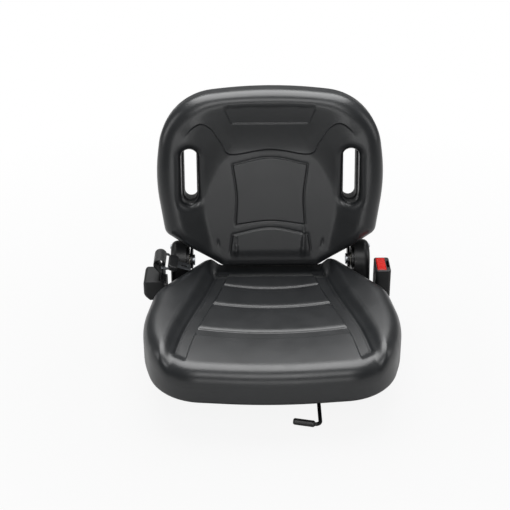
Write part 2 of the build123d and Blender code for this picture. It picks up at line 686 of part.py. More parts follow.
# Side brackets: plates that carry the hinge, bolted to the rim of the pan
for side, name in SIDES:
    with BuildPart() as side_bracket:
        with BuildSketch(across(side, BRACKET_X, 0, 0)):
            with BuildLine():
                FilletPolyline(
                    (BRACKET_FRONT, side * BRACKET_FOOT),
                    (BRACKET_REAR, side * BRACKET_FOOT),
                    (BRACKET_REAR, side * HINGE_Z),
                    (BRACKET_NECK_FRONT, side * HINGE_Z),
                    (BRACKET_NECK_FRONT, side * BRACKET_FOOT_TOP),
                    (BRACKET_FRONT, side * BRACKET_FOOT_TOP),
                    radius=BRACKET_CORNER,
                    close=True,
                )
            make_face()
            with Locations((HINGE_Y, side * HINGE_Z)):
                Circle(BRACKET_EYE_RADIUS)
                Circle(BUSH_RADIUS + FIXED_CLEARANCE, mode=Mode.SUBTRACT)
            with Locations(*[(y, side * BRACKET_BOLT_Z) for y in BRACKET_BOLT_Y]):
                Circle(BOLT_HOLE_RADIUS, mode=Mode.SUBTRACT)
            with Locations((BELT_BRACKET_Y, side * BELT_BOLT_Z)):
                with GridLocations(BELT_BOLT_SPACING, 1, 2, 1):
                    Circle(BOLT_HOLE_RADIUS, mode=Mode.SUBTRACT)
            if side == LEFT:
                with Locations((PAWL_Y, PAWL_Z)):
                    Circle(PAWL_PIN_DIAMETER / 2 + FIXED_CLEARANCE, mode=Mode.SUBTRACT)
            with Locations((COVER_SCREW_Y, side * COVER_SCREW_Z)):
                Circle(COVER_SCREW_DIAMETER / 2 + FIXED_CLEARANCE, mode=Mode.SUBTRACT)
        extrude(amount=BRACKET_SHEET)
    save(side_bracket, f"side_bracket_{name}")

with BuildPart() as bracket_bolts:
    for side in (LEFT, RIGHT):
        for y in BRACKET_BOLT_Y:
            length = BRACKET_SHEET + PAN_SHEET + NUT_HEIGHT + BOLT_END
            seat = across(side, BRACKET_OUTER, y, BRACKET_BOLT_Z)
            add(hex_bolt(seat, BOLT_DIAMETER, BOLT_FLATS, BOLT_HEAD, length))
save(bracket_bolts, "bracket_bolts")

with BuildPart() as bracket_nuts:
    for side in (LEFT, RIGHT):
        for y in BRACKET_BOLT_Y:
            seat = across(side, BRACKET_X - PAN_SHEET - NUT_HEIGHT, y, BRACKET_BOLT_Z)
            add(hex_nut(seat, BOLT_DIAMETER, BOLT_FLATS, NUT_HEIGHT))
save(bracket_nuts, "bracket_nuts")

# Hinge bushes: flanged bearings pressed into the side brackets
BUSH_FLANGE_FACE = ARM_OUTER + SLIDE_GAP
with BuildPart() as hinge_bushes:
    for side in (LEFT, RIGHT):
        with BuildSketch(across(side, BUSH_FLANGE_FACE, HINGE_Y, HINGE_Z)):
            Circle(BUSH_RADIUS)
            Circle(BUSH_BORE_RADIUS, mode=Mode.SUBTRACT)
        extrude(amount=BRACKET_OUTER - BUSH_FLANGE_FACE)
        with BuildSketch(across(side, BUSH_FLANGE_FACE, HINGE_Y, HINGE_Z)):
            Circle(BUSH_FLANGE_DIAMETER / 2)
            Circle(BUSH_BORE_RADIUS, mode=Mode.SUBTRACT)
        extrude(amount=BRACKET_X - BUSH_FLANGE_FACE)
save(hinge_bushes, "hinge_bushes")


# Backrest outlines, in the plane of the back with v running up it. The bow of the crown takes no more
# of the top edge than the round corners leave.
def back_outline(plane, grow):
    crown_slope = atan2(BACK_CROWN_V - BACK_TOP_V, BACK_TOP_X + grow)
    side_lean = atan2(BACK_WIDEST_X - BACK_TOP_X, BACK_TOP_V - BACK_WIDEST_V)
    corner = BACK_TOP_RADIUS * tan((radians(90) - side_lean - crown_slope) / 2)
    room = (BACK_TOP_X + grow) / cos(crown_slope) - corner
    crown_radius = min(BACK_CROWN_RADIUS, FILLET_SHARE * room / tan(crown_slope))
    return rounded_outline(
        plane,
        [
            (BACK_FOOT_X + grow, -grow, BACK_FOOT_RADIUS + grow),
            (BACK_LOW_X + grow, BACK_LOW_V - grow / 2, BACK_LOW_RADIUS + grow),
            (BACK_WIDEST_X + grow, BACK_WIDEST_V, BACK_SIDE_RADIUS),
            (BACK_TOP_X + grow, BACK_TOP_V + grow, BACK_TOP_RADIUS),
            (0, BACK_CROWN_V + grow, crown_radius),
        ],
    )


def slot_faces(plane, grow):
    with BuildSketch(plane) as slots:
        with Locations((SLOT_X, SLOT_V), (-SLOT_X, SLOT_V)):
            SlotOverall(SLOT_LENGTH + 2 * grow, SLOT_WIDTH + 2 * grow, rotation=90)
    return slots.sketch


# Back shell: tray behind the cushion, with a collar through each hand slot
with BuildPart() as back_shell:
    extrude(back_outline(BACK_PLANE, -SHELL_INSET), amount=SHELL_RIM)
    fillet(back_shell.faces().sort_by(BACK_DEPTH_AXIS)[0].edges(), SHELL_EDGE_RADIUS)
    extrude(
        back_outline(BACK_PLANE.offset(SHELL_WALL), -SHELL_INSET - SHELL_WALL),
        amount=SHELL_RIM,
        mode=Mode.SUBTRACT,
    )
    extrude(slot_faces(BACK_PLANE, COLLAR_WALL), amount=COLLAR_HEIGHT)
    extrude(slot_faces(BACK_PLANE, 0), amount=COLLAR_HEIGHT, mode=Mode.SUBTRACT)
    for side in (LEFT, RIGHT):
        with BuildSketch(BACK_PLANE):
            with Locations(*[(side * (ARM_OUTER - ARM_BOLT_INSET), v) for v in ARM_BOLTS_AT]):
                Circle(BOLT_HOLE_RADIUS)
        extrude(amount=SHELL_WALL, mode=Mode.SUBTRACT)
save(back_shell, "back_shell")


# Backrest cushion: rolled rim round a dish that is open at the foot, with moulded panels
def dish_face(depth, low_x, mid_x, mid_v, top_x, top_v):
    return rounded_outline(
        BACK_PLANE.offset(depth),
        [
            (low_x, -DISH_BELOW, DISH_CORNER),
            (mid_x, mid_v, 2 * DISH_CORNER),
            (top_x, top_v, DISH_CORNER),
        ],
    )


DISH_SLOPE = degrees(atan2(BACK_DEPTH + PANEL_DEPTH - DISH_FLOOR, DISH_RIM_TOP_V - DISH_FLOOR_TOP_V))
HEAD_PANEL_W = DISH_FLOOR + (HEAD_PANEL_V - DISH_FLOOR_TOP_V) * tan(radians(DISH_SLOPE))
HEAD_PLANE = BACK_PLANE.shift_origin(
    BACK_PLANE.from_local_coords((0, HEAD_PANEL_V, 0))
).offset(HEAD_PANEL_W).rotated((DISH_SLOPE, 0, 0))
with BuildPart() as backrest_cushion:
    extrude(back_outline(BACK_PLANE.offset(SHELL_RIM), 0), amount=BACK_DEPTH - SHELL_RIM)
    fillet(backrest_cushion.faces().sort_by(BACK_DEPTH_AXIS)[-1].edges(), BACK_ROLL_RADIUS)
    fillet(backrest_cushion.faces().sort_by(BACK_DEPTH_AXIS)[0].edges(), BACK_SEAM_RADIUS)
    loft(
        [
            dish_face(
                DISH_FLOOR,
                DISH_FLOOR_LOW_X,
                DISH_FLOOR_MID_X,
                DISH_FLOOR_MID_V,
                DISH_FLOOR_TOP_X,
                DISH_FLOOR_TOP_V,
            ).face(),
            dish_face(
                BACK_DEPTH + PANEL_DEPTH,
                DISH_RIM_LOW_X,
                DISH_RIM_MID_X,
                DISH_RIM_MID_V,
                DISH_RIM_TOP_X,
                DISH_RIM_TOP_V,
            ).face(),
        ],
        ruled=True,
        mode=Mode.SUBTRACT,
    )
    with BuildSketch(BACK_PLANE.offset(DISH_FLOOR)):
        with BuildLine():
            top = ThreePointArc(
                (-SHIELD_TOP_HALF, SHIELD_TOP_V),
                (0, SHIELD_TOP_V + SHIELD_BOW),
                (SHIELD_TOP_HALF, SHIELD_TOP_V),
            )
            foot = ThreePointArc(
                (SHIELD_FOOT_HALF, SHIELD_FOOT_V),
                (0, SHIELD_FOOT_V + SHIELD_BOW / 2),
                (-SHIELD_FOOT_HALF, SHIELD_FOOT_V),
            )
            Line(top @ 1, foot @ 0)
            Line(foot @ 1, top @ 0)
        make_face()
        with BuildLine():
            top = ThreePointArc(
                (-LUMBAR_HALF, LUMBAR_TOP_V), (0, LUMBAR_TOP_V + SHIELD_BOW), (LUMBAR_HALF, LUMBAR_TOP_V)
            )
            Polyline(top @ 1, (LUMBAR_HALF, LUMBAR_FOOT_V), (-LUMBAR_HALF, LUMBAR_FOOT_V), top @ 0)
        make_face()
    extrude(amount=PANEL_DEPTH)
    with BuildSketch(HEAD_PLANE):
        with BuildLine():
            Polyline(
                (-HEAD_PANEL_FOOT_HALF, -HEAD_PANEL_HEIGHT / 2),
                (HEAD_PANEL_FOOT_HALF, -HEAD_PANEL_HEIGHT / 2),
                (HEAD_PANEL_TOP_HALF, HEAD_PANEL_HEIGHT / 2),
                (-HEAD_PANEL_TOP_HALF, HEAD_PANEL_HEIGHT / 2),
                close=True,
            )
        make_face()
    extrude(amount=PANEL_DEPTH, both=True, mode=Mode.SUBTRACT)
    extrude(
        back_outline(BACK_PLANE.offset(SHELL_RIM), -SHELL_INSET - SHELL_WALL - SHELL_PLAY),
        amount=SHELL_WALL - SHELL_RIM,
    )
    extrude(
        slot_faces(BACK_PLANE, COLLAR_WALL + SHELL_PLAY), amount=BACK_DEPTH, mode=Mode.SUBTRACT
    )
    extrude(
        slot_faces(BACK_PLANE.offset(COLLAR_HEIGHT), COLLAR_WALL + SHELL_PLAY),
        amount=BACK_DEPTH - COLLAR_HEIGHT,
        taper=-SLOT_FLARE,
        mode=Mode.SUBTRACT,
    )
save(backrest_cushion, "backrest_cushion")

# Hinge arms: plates with an eye on the hinge and a flange bolted to the back of the shell
HINGE_V = BACK_PLANE.to_local_coords(Vector(0, HINGE_Y, HINGE_Z)).Y
HINGE_W = BACK_PLANE.to_local_coords(Vector(0, HINGE_Y, HINGE_Z)).Z
for side, name in SIDES:
    with BuildPart() as hinge_arm:
        arm_plane = Plane(origin=(side * ARM_INNER, HINGE_Y, HINGE_Z), x_dir=BACK_UP, z_dir=(side, 0, 0))
        with BuildSketch(arm_plane) as eye:
            Circle(ARM_EYE_RADIUS)
            with Locations((ARM_FLANGE_FROM - HINGE_V + ARM_SHEET, side * (-HINGE_W - ARM_SHEET / 2))):
                Rectangle(2 * ARM_SHEET, ARM_SHEET)
            make_hull()
            Circle(SHAFT_RADIUS + FIXED_CLEARANCE, mode=Mode.SUBTRACT)
        extrude(amount=ARM_SHEET)
        with BuildSketch(BACK_PLANE):
            flange_v = (ARM_FLANGE_FROM + ARM_FLANGE_TO) / 2
            with Locations((side * (ARM_OUTER - ARM_FLANGE_WIDTH / 2), flange_v)):
                Rectangle(ARM_FLANGE_WIDTH, ARM_FLANGE_TO - ARM_FLANGE_FROM)
            with Locations(*[(side * (ARM_OUTER - ARM_BOLT_INSET), v) for v in ARM_BOLTS_AT]):
                Circle(BOLT_HOLE_RADIUS, mode=Mode.SUBTRACT)
        extrude(amount=-ARM_SHEET)
    save(hinge_arm, f"hinge_arm_{name}")

with BuildPart() as arm_bolts:
    for side in (LEFT, RIGHT):
        for v in ARM_BOLTS_AT:
            point = BACK_PLANE.from_local_coords((side * (ARM_OUTER - ARM_BOLT_INSET), v, -ARM_SHEET))
            seat = Plane(origin=point, x_dir=(1, 0, 0), z_dir=tuple(-c for c in BACK_FRONT))
            add(hex_bolt(seat, BOLT_DIAMETER, BOLT_FLATS, BOLT_HEAD, ARM_SHEET + SHELL_WALL))
save(arm_bolts, "arm_bolts")

# Hinge shafts: fixed in the arms, turning in the bushes
with BuildPart() as hinge_shafts:
    for side in (LEFT, RIGHT):
        nut_face = LOCK_OUTER if side == LEFT else BRACKET_OUTER + SLIDE_GAP
        with BuildSketch(across(side, ARM_INNER, HINGE_Y, HINGE_Z)):
            Circle(SHAFT_RADIUS)
        extrude(amount=nut_face + HINGE_NUT_HEIGHT + BOLT_END - ARM_INNER)
        with BuildSketch(across(side, ARM_INNER, HINGE_Y, HINGE_Z)):
            Circle(SHAFT_HEAD_DIAMETER / 2)
        extrude(amount=-SHAFT_HEAD)
save(hinge_shafts, "hinge_shafts")

with BuildPart() as hinge_nuts:
    for side in (LEFT, RIGHT):
        nut_face = LOCK_OUTER if side == LEFT else BRACKET_OUTER + SLIDE_GAP
        seat = across(side, nut_face, HINGE_Y, HINGE_Z)
        add(hex_nut(seat, SHAFT_DIAMETER, HINGE_NUT_FLATS, HINGE_NUT_HEIGHT))
save(hinge_nuts, "hinge_nuts")

# Recline quadrant: toothed sector keyed to the left hinge shaft
TOOTH_COUNT = int(QUADRANT_SPREAD / TOOTH_PITCH) - 1
FIRST_TOOTH = -90 - TOOTH_PITCH * (TOOTH_COUNT - 1) / 2
with BuildPart() as recline_quadrant:
    with BuildSketch(across(LEFT, LOCK_X, HINGE_Y, HINGE_Z)):
        with BuildLine():
            rim = CenterArc((0, 0), QUADRANT_RADIUS, -90 - QUADRANT_SPREAD / 2, QUADRANT_SPREAD)
            Line(rim @ 1, (0, 0))
            Line((0, 0), rim @ 0)
        make_face()
        Circle(QUADRANT_HUB_DIAMETER / 2)
        with PolarLocations(QUADRANT_RADIUS, TOOTH_COUNT, FIRST_TOOTH, TOOTH_PITCH * (TOOTH_COUNT - 1)):
            RegularPolygon(TOOTH_DEPTH, 4, major_radius=True, mode=Mode.SUBTRACT)
        Circle(SHAFT_RADIUS + FIXED_CLEARANCE, mode=Mode.SUBTRACT)
    extrude(amount=LOCK_SHEET)
    with BuildSketch(across(LEFT, BRACKET_OUTER + SLIDE_GAP, HINGE_Y, HINGE_Z)):
        Circle(QUADRANT_HUB_DIAMETER / 2)
        Circle(SHAFT_RADIUS + FIXED_CLEARANCE, mode=Mode.SUBTRACT)
    extrude(amount=LOCK_X - BRACKET_OUTER - SLIDE_GAP)
save(recline_quadrant, "recline_quadrant")

# Recline lever: pawl under the quadrant, with a handle that drops below the cushion and runs forward
PAWL_CLEAR_RADIUS = QUADRANT_RADIUS + PAWL_GAP
with BuildPart() as recline_lever:
    with BuildSketch(across(LEFT, LOCK_X, 0, 0)):
        with BuildLine() as run:
            FilletPolyline(
                (PAWL_Y, PAWL_Z), (PAWL_Y, LEVER_RUN_Z), (LEVER_END, LEVER_RUN_Z), radius=2 * LEVER_WIDTH
            )
        trace(line_width=LEVER_WIDTH)
        with Locations((PAWL_Y, PAWL_Z)):
            Circle(LEVER_WIDTH * 0.75)
        with BuildLine():
            Polyline(
                (PAWL_Y, PAWL_Z - LEVER_WIDTH / 2),
                (PAWL_Y + PAWL_REACH, PAWL_Z - LEVER_WIDTH / 2 + PAWL_TIP_RISE),
                (PAWL_Y + PAWL_REACH, HINGE_Z - QUADRANT_RADIUS + TOOTH_DEPTH),
                (PAWL_Y + PAWL_REACH / 2, HINGE_Z - QUADRANT_RADIUS + TOOTH_DEPTH),
                (PAWL_Y, PAWL_Z + LEVER_WIDTH / 2),
                close=True,
            )
        make_face()
        with Locations((HINGE_Y, HINGE_Z)):
            Circle(PAWL_CLEAR_RADIUS, mode=Mode.SUBTRACT)
            with PolarLocations(PAWL_CLEAR_RADIUS, 3, -90 - TOOTH_PITCH, 2 * TOOTH_PITCH):
                RegularPolygon(TOOTH_DEPTH, 4, major_radius=True, mode=Mode.SUBTRACT)
        with Locations((PAWL_Y, PAWL_Z)):
            Circle(PAWL_PIN_DIAMETER / 2 + RUNNING_CLEARANCE, mode=Mode.SUBTRACT)
    extrude(amount=LOCK_SHEET)
save(recline_lever, "recline_lever")

LEVER_GRIP_Y = LEVER_END + LEVER_GRIP_OVERLAP - LEVER_GRIP_LENGTH / 2
with BuildPart() as recline_grip:
    with BuildSketch(across(LEFT, LOCK_X + LOCK_SHEET / 2 - LEVER_GRIP_WIDTH / 2, LEVER_GRIP_Y, LEVER_RUN_Z)):
        SlotOverall(LEVER_GRIP_LENGTH, LEVER_GRIP_HEIGHT)
    extrude(amount=LEVER_GRIP_WIDTH)
    fillet(recline_grip.faces().sort_by(Axis.X)[-1].edges(), LEVER_GRIP_WIDTH / 4)
    fillet(recline_grip.faces().sort_by(Axis.X)[0].edges(), LEVER_GRIP_WIDTH / 4)
    with BuildSketch(across(LEFT, LOCK_X - FIXED_CLEARANCE, LEVER_END, LEVER_RUN_Z)):
        Rectangle(
            LEVER_GRIP_LENGTH, LEVER_WIDTH + 2 * FIXED_CLEARANCE, align=(Align.MIN, Align.CENTER)
        )
    extrude(amount=LOCK_SHEET + 2 * FIXED_CLEARANCE, mode=Mode.SUBTRACT)
save(recline_grip, "recline_grip")

with BuildPart() as pawl_pin:
    with BuildSketch(across(LEFT, BRACKET_X, PAWL_Y, PAWL_Z)):
        Circle(PAWL_PIN_DIAMETER / 2)
    extrude(amount=LOCK_OUTER + SLIDE_GAP + PAWL_PIN_HEAD - BRACKET_X)
    with BuildSketch(across(LEFT, LOCK_OUTER + SLIDE_GAP, PAWL_Y, PAWL_Z)):
        Circle(PAWL_PIN_HEAD_DIAMETER / 2)
    extrude(amount=PAWL_PIN_HEAD)
    with BuildSketch(across(LEFT, BRACKET_OUTER, PAWL_Y, PAWL_Z)):
        Circle(PAWL_PIN_HEAD_DIAMETER / 2)
    extrude(amount=LOCK_X - SLIDE_GAP - BRACKET_OUTER)
save(pawl_pin, "pawl_pin")


# Hinge covers: domed plastic shells over the hinge ends
def cover_face(side, x, inset):
    with BuildSketch(across(side, x, 0, 0)) as face:
        with Locations((HINGE_Y, side * HINGE_Z)):
            Circle(COVER_RADIUS - inset)
        with Locations((COVER_FOOT_Y, side * COVER_FOOT_Z)):
            Circle(COVER_FOOT_RADIUS - inset)
        make_hull()
    return face.sketch


for side, name in SIDES:
    with BuildPart() as hinge_cover:
        extrude(cover_face(side, BRACKET_OUTER, 0), amount=COVER_DEPTH)
        outer = hinge_cover.faces().sort_by(Axis.X)[-1 if side == LEFT else 0]
        fillet(outer.edges(), COVER_EDGE_RADIUS)
        extrude(
            cover_face(side, BRACKET_OUTER, COVER_WALL),
            amount=COVER_DEPTH - COVER_EDGE_RADIUS,
            mode=Mode.SUBTRACT,
        )
        extrude(
            cover_face(side, BRACKET_OUTER, COVER_EDGE_RADIUS),
            amount=COVER_DEPTH - COVER_WALL,
            mode=Mode.SUBTRACT,
        )
        with BuildSketch(across(side, BRACKET_OUTER, COVER_SCREW_Y, COVER_SCREW_Z)):
            Circle(COVER_BOSS_DIAMETER / 2)
        extrude(amount=COVER_DEPTH - COVER_WALL)
        with BuildSketch(across(side, BRACKET_OUTER, COVER_SCREW_Y, COVER_SCREW_Z)):
            Circle(COVER_SCREW_DIAMETER / 2 + FIXED_CLEARANCE)
        extrude(amount=COVER_DEPTH, mode=Mode.SUBTRACT)
        if side == LEFT:
            with BuildSketch(across(LEFT, LOCK_X + LOCK_SHEET / 2 - COVER_LEVER_SLOT / 2, PAWL_Y, 0)):
                Rectangle(2 * COVER_LEVER_ROOM, PAWL_Z, align=(Align.CENTER, Align.MIN))
            extrude(amount=COVER_LEVER_SLOT, mode=Mode.SUBTRACT)
    save(hinge_cover, f"hinge_cover_{name}")

with BuildPart() as cover_screws:
    for side in (LEFT, RIGHT):
        with BuildSketch(across(side, COVER_OUTER, COVER_SCREW_Y, COVER_SCREW_Z)):
            Circle(COVER_SCREW_HEAD_DIAMETER / 2)
        extrude(amount=COVER_SCREW_HEAD)
        with BuildSketch(across(side, BRACKET_X, COVER_SCREW_Y, COVER_SCREW_Z)):
            Circle(COVER_SCREW_DIAMETER / 2)
        extrude(amount=COVER_OUTER - BRACKET_X)
        with BuildSketch(across(side, COVER_OUTER + COVER_SCREW_HEAD, COVER_SCREW_Y, COVER_SCREW_Z)):
            Rectangle(COVER_SCREW_RECESS, COVER_SCREW_RECESS_WIDTH)
            Rectangle(COVER_SCREW_RECESS_WIDTH, COVER_SCREW_RECESS)
        extrude(amount=-COVER_SCREW_HEAD / 2, mode=Mode.SUBTRACT)
save(cover_screws, "cover_screws")


# Belt brackets: folded strips bolted to the side brackets and turned up outside the cushion
def belt_bracket_profile(side, riser_outer, riser_top):
    with BuildSketch(Plane.XZ.offset(-BELT_BRACKET_Y)) as profile:
        with BuildLine():
            Polyline(
                (side * BRACKET_OUTER, BRACKET_FOOT),
                (side * BELT_LEG_OUTER, BRACKET_FOOT),
                (side * BELT_LEG_OUTER, BELT_SHELF - BELT_SHEET),
                (side * riser_outer, BELT_SHELF - BELT_SHEET),
                (side * riser_outer, riser_top),
                (side * (riser_outer - BELT_SHEET), riser_top),
                (side * (riser_outer - BELT_SHEET), BELT_SHELF),
                (side * BRACKET_OUTER, BELT_SHELF),
                close=True,
            )
        make_face()
    return profile.sketch


BELT_BOLT_Y = (BELT_BRACKET_Y - BELT_BOLT_SPACING / 2, BELT_BRACKET_Y + BELT_BOLT_SPACING / 2)
for side, name, riser_outer, riser_top, hole_y, hole_z in (
    (RIGHT, "retractor_bracket", RETRACTOR_X, RETRACTOR_RISER_TOP, BELT_BRACKET_Y, RETRACTOR_BOLT_Z),
    (LEFT, "buckle_bracket", BUCKLE_RISER_X, BUCKLE_RISER_TOP, BUCKLE_Y, BUCKLE_PIVOT_Z),
):
    with BuildPart() as belt_bracket:
        extrude(
            belt_bracket_profile(side, riser_outer, riser_top),
            amount=BELT_BRACKET_LENGTH / 2,
            both=True,
        )
        fillet(belt_bracket.edges().filter_by(Axis.X).group_by(Axis.Z)[-1], BELT_BRACKET_CORNER)
        for y in BELT_BOLT_Y:
            with BuildSketch(across(side, BRACKET_OUTER, y, BELT_BOLT_Z)):
                Circle(BOLT_HOLE_RADIUS)
            extrude(amount=BELT_SHEET, mode=Mode.SUBTRACT)
        with BuildSketch(across(side, riser_outer, hole_y, hole_z)):
            Circle(ANCHOR_DIAMETER / 2 + FIXED_CLEARANCE)
        extrude(amount=-BELT_SHEET, mode=Mode.SUBTRACT)
    save(belt_bracket, name)

with BuildPart() as belt_bracket_bolts:
    for side in (LEFT, RIGHT):
        for y in BELT_BOLT_Y:
            length = BELT_SHEET + BRACKET_SHEET + NUT_HEIGHT + BOLT_END
            seat = across(side, BELT_LEG_OUTER, y, BELT_BOLT_Z)
            add(hex_bolt(seat, BOLT_DIAMETER, BOLT_FLATS, BOLT_HEAD, length))
save(belt_bracket_bolts, "belt_bracket_bolts")

with BuildPart() as belt_bracket_nuts:
    for side in (LEFT, RIGHT):
        for y in BELT_BOLT_Y:
            seat = across(side, BRACKET_X - NUT_HEIGHT, y, BELT_BOLT_Z)
            add(hex_nut(seat, BOLT_DIAMETER, BOLT_FLATS, NUT_HEIGHT))
save(belt_bracket_nuts, "belt_bracket_nuts")

# Retractor frame: U plate with a bolt tab below and an ear at each end of the spool
RETRACTOR_FRAME_FOOT = RETRACTOR_FOOT + RETRACTOR_WALL + SHELL_PLAY
RETRACTOR_FRAME_TOP = RETRACTOR_TOP - RETRACTOR_WALL - SHELL_PLAY
FRAME_EAR_OUTER = RETRACTOR_X + RETRACTOR_DEPTH - RETRACTOR_EDGE_RADIUS
with BuildPart() as retractor_frame:
    with BuildSketch(across(RIGHT, RETRACTOR_X, BELT_BRACKET_Y, 0)):
        with Locations((0, -(RETRACTOR_FRAME_FOOT + RETRACTOR_FRAME_TOP) / 2)):
            Rectangle(FRAME_LENGTH, RETRACTOR_FRAME_TOP - RETRACTOR_FRAME_FOOT)
        with Locations((0, -(FRAME_TAB_FOOT + RETRACTOR_FRAME_FOOT) / 2)):
            Rectangle(FRAME_TAB_WIDTH, RETRACTOR_FRAME_FOOT - FRAME_TAB_FOOT)
        with Locations((0, -RETRACTOR_BOLT_Z)):
            Circle(ANCHOR_DIAMETER / 2 + FIXED_CLEARANCE, mode=Mode.SUBTRACT)
    extrude(amount=FRAME_SHEET)
    for end in (-1, 1):
        ear_y = BELT_BRACKET_Y + end * (FRAME_LENGTH / 2 - FRAME_SHEET / 2)
        with BuildSketch(Plane.XZ.offset(-ear_y)):
            with BuildLine():
                Polyline(
                    (-RETRACTOR_X, RETRACTOR_FRAME_FOOT),
                    (-RETRACTOR_X, RETRACTOR_FRAME_TOP),
                    (-FRAME_EAR_OUTER, RETRACTOR_FRAME_TOP),
                    (-FRAME_EAR_OUTER, RETRACTOR_FRAME_FOOT + RETRACTOR_CHAMFER),
                    (-FRAME_EAR_OUTER + RETRACTOR_CHAMFER, RETRACTOR_FRAME_FOOT),
                    close=True,
                )
            make_face()
            with Locations((-SPOOL_X, SPOOL_Z)):
                Circle(SPOOL_DIAMETER / 2 + RUNNING_CLEARANCE, mode=Mode.SUBTRACT)
        extrude(amount=FRAME_SHEET / 2, both=True)
save(retractor_frame, "retractor_frame")


# Retractor cover: moulded box, open towards its bracket, with a mouth for the webbing in its top
def retractor_face(inset):
    outer = RETRACTOR_X + RETRACTOR_DEPTH - inset
    with BuildSketch(Plane.XZ.offset(-BELT_BRACKET_Y)) as face:
        with BuildLine():
            Polyline(
                (-RETRACTOR_X, RETRACTOR_FOOT + inset),
                (-RETRACTOR_X, RETRACTOR_TOP - inset),
                (-outer, RETRACTOR_TOP - inset),
                (-outer, RETRACTOR_FOOT + RETRACTOR_CHAMFER + inset / 2),
                (-outer + RETRACTOR_CHAMFER + inset / 2, RETRACTOR_FOOT + inset),
                close=True,
            )
        make_face()
    return face.sketch


with BuildPart() as retractor_cover:
    extrude(retractor_face(0), amount=RETRACTOR_LENGTH / 2, both=True)
    end_edges = retractor_cover.faces().sort_by(Axis.X)[0].edges()
    fillet(end_edges, RETRACTOR_EDGE_RADIUS)
    extrude(
        retractor_face(RETRACTOR_WALL),
        amount=RETRACTOR_LENGTH / 2 - RETRACTOR_WALL,
        both=True,
        mode=Mode.SUBTRACT,
    )
    with BuildSketch(Plane.XY.offset(RETRACTOR_TOP)):
        with Locations((-TAIL_X, BELT_BRACKET_Y)):
            Rectangle(MOUTH_WIDTH, MOUTH_LENGTH)
    extrude(amount=-RETRACTOR_WALL, mode=Mode.SUBTRACT)
    with BuildSketch(Plane.XY.offset(RETRACTOR_FOOT)):
        with Locations((-RETRACTOR_X, BELT_BRACKET_Y)):
            Rectangle(2 * FRAME_SHEET + 2 * SHELL_PLAY, FRAME_TAB_WIDTH + 2 * SHELL_PLAY)
    extrude(amount=RETRACTOR_WALL, mode=Mode.SUBTRACT)
save(retractor_cover, "retractor_cover")

with BuildPart() as retractor_bolt:
    seat = across(RIGHT, RETRACTOR_X + FRAME_SHEET, BELT_BRACKET_Y, RETRACTOR_BOLT_Z)
    add(hex_bolt(seat, ANCHOR_DIAMETER, ANCHOR_FLATS, ANCHOR_HEAD, FRAME_SHEET + BELT_SHEET))
save(retractor_bolt, "retractor_bolt")

# Belt spool with the wound webbing
with BuildPart() as spool_shaft:
    with BuildSketch(Plane.XZ.offset(-BELT_BRACKET_Y)):
        with Locations((-SPOOL_X, SPOOL_Z)):
            Circle(SPOOL_DIAMETER / 2)
    extrude(amount=FRAME_LENGTH / 2, both=True)
save(spool_shaft, "spool_shaft")

with BuildPart() as belt_roll:
    with BuildSketch(Plane.XZ.offset(-BELT_BRACKET_Y)):
        with Locations((-SPOOL_X, SPOOL_Z)):
            Circle(ROLL_DIAMETER / 2)
            Circle(SPOOL_DIAMETER / 2 + FIXED_CLEARANCE, mode=Mode.SUBTRACT)
    extrude(amount=WEBBING_WIDTH / 2, both=True)
save(belt_roll, "belt_roll")

# Webbing: the free end rises from the retractor and is sewn into a loop round the tongue
with BuildPart() as belt_webbing:
    with BuildSketch(Plane.XZ.offset(-BELT_BRACKET_Y)):
        with Locations((-TAIL_X, SPOOL_Z)):
            Rectangle(
                WEBBING_THICKNESS,
                LOOP_Z - LOOP_DIAMETER / 2 + WEBBING_THICKNESS / 2 - SPOOL_Z,
                align=(Align.CENTER, Align.MIN),
            )
        with Locations((-TAIL_X, LOOP_Z)):
            Circle(LOOP_DIAMETER / 2)
            Circle(LOOP_DIAMETER / 2 - WEBBING_THICKNESS, mode=Mode.SUBTRACT)
    extrude(amount=WEBBING_WIDTH / 2, both=True)
save(belt_webbing, "belt_webbing")

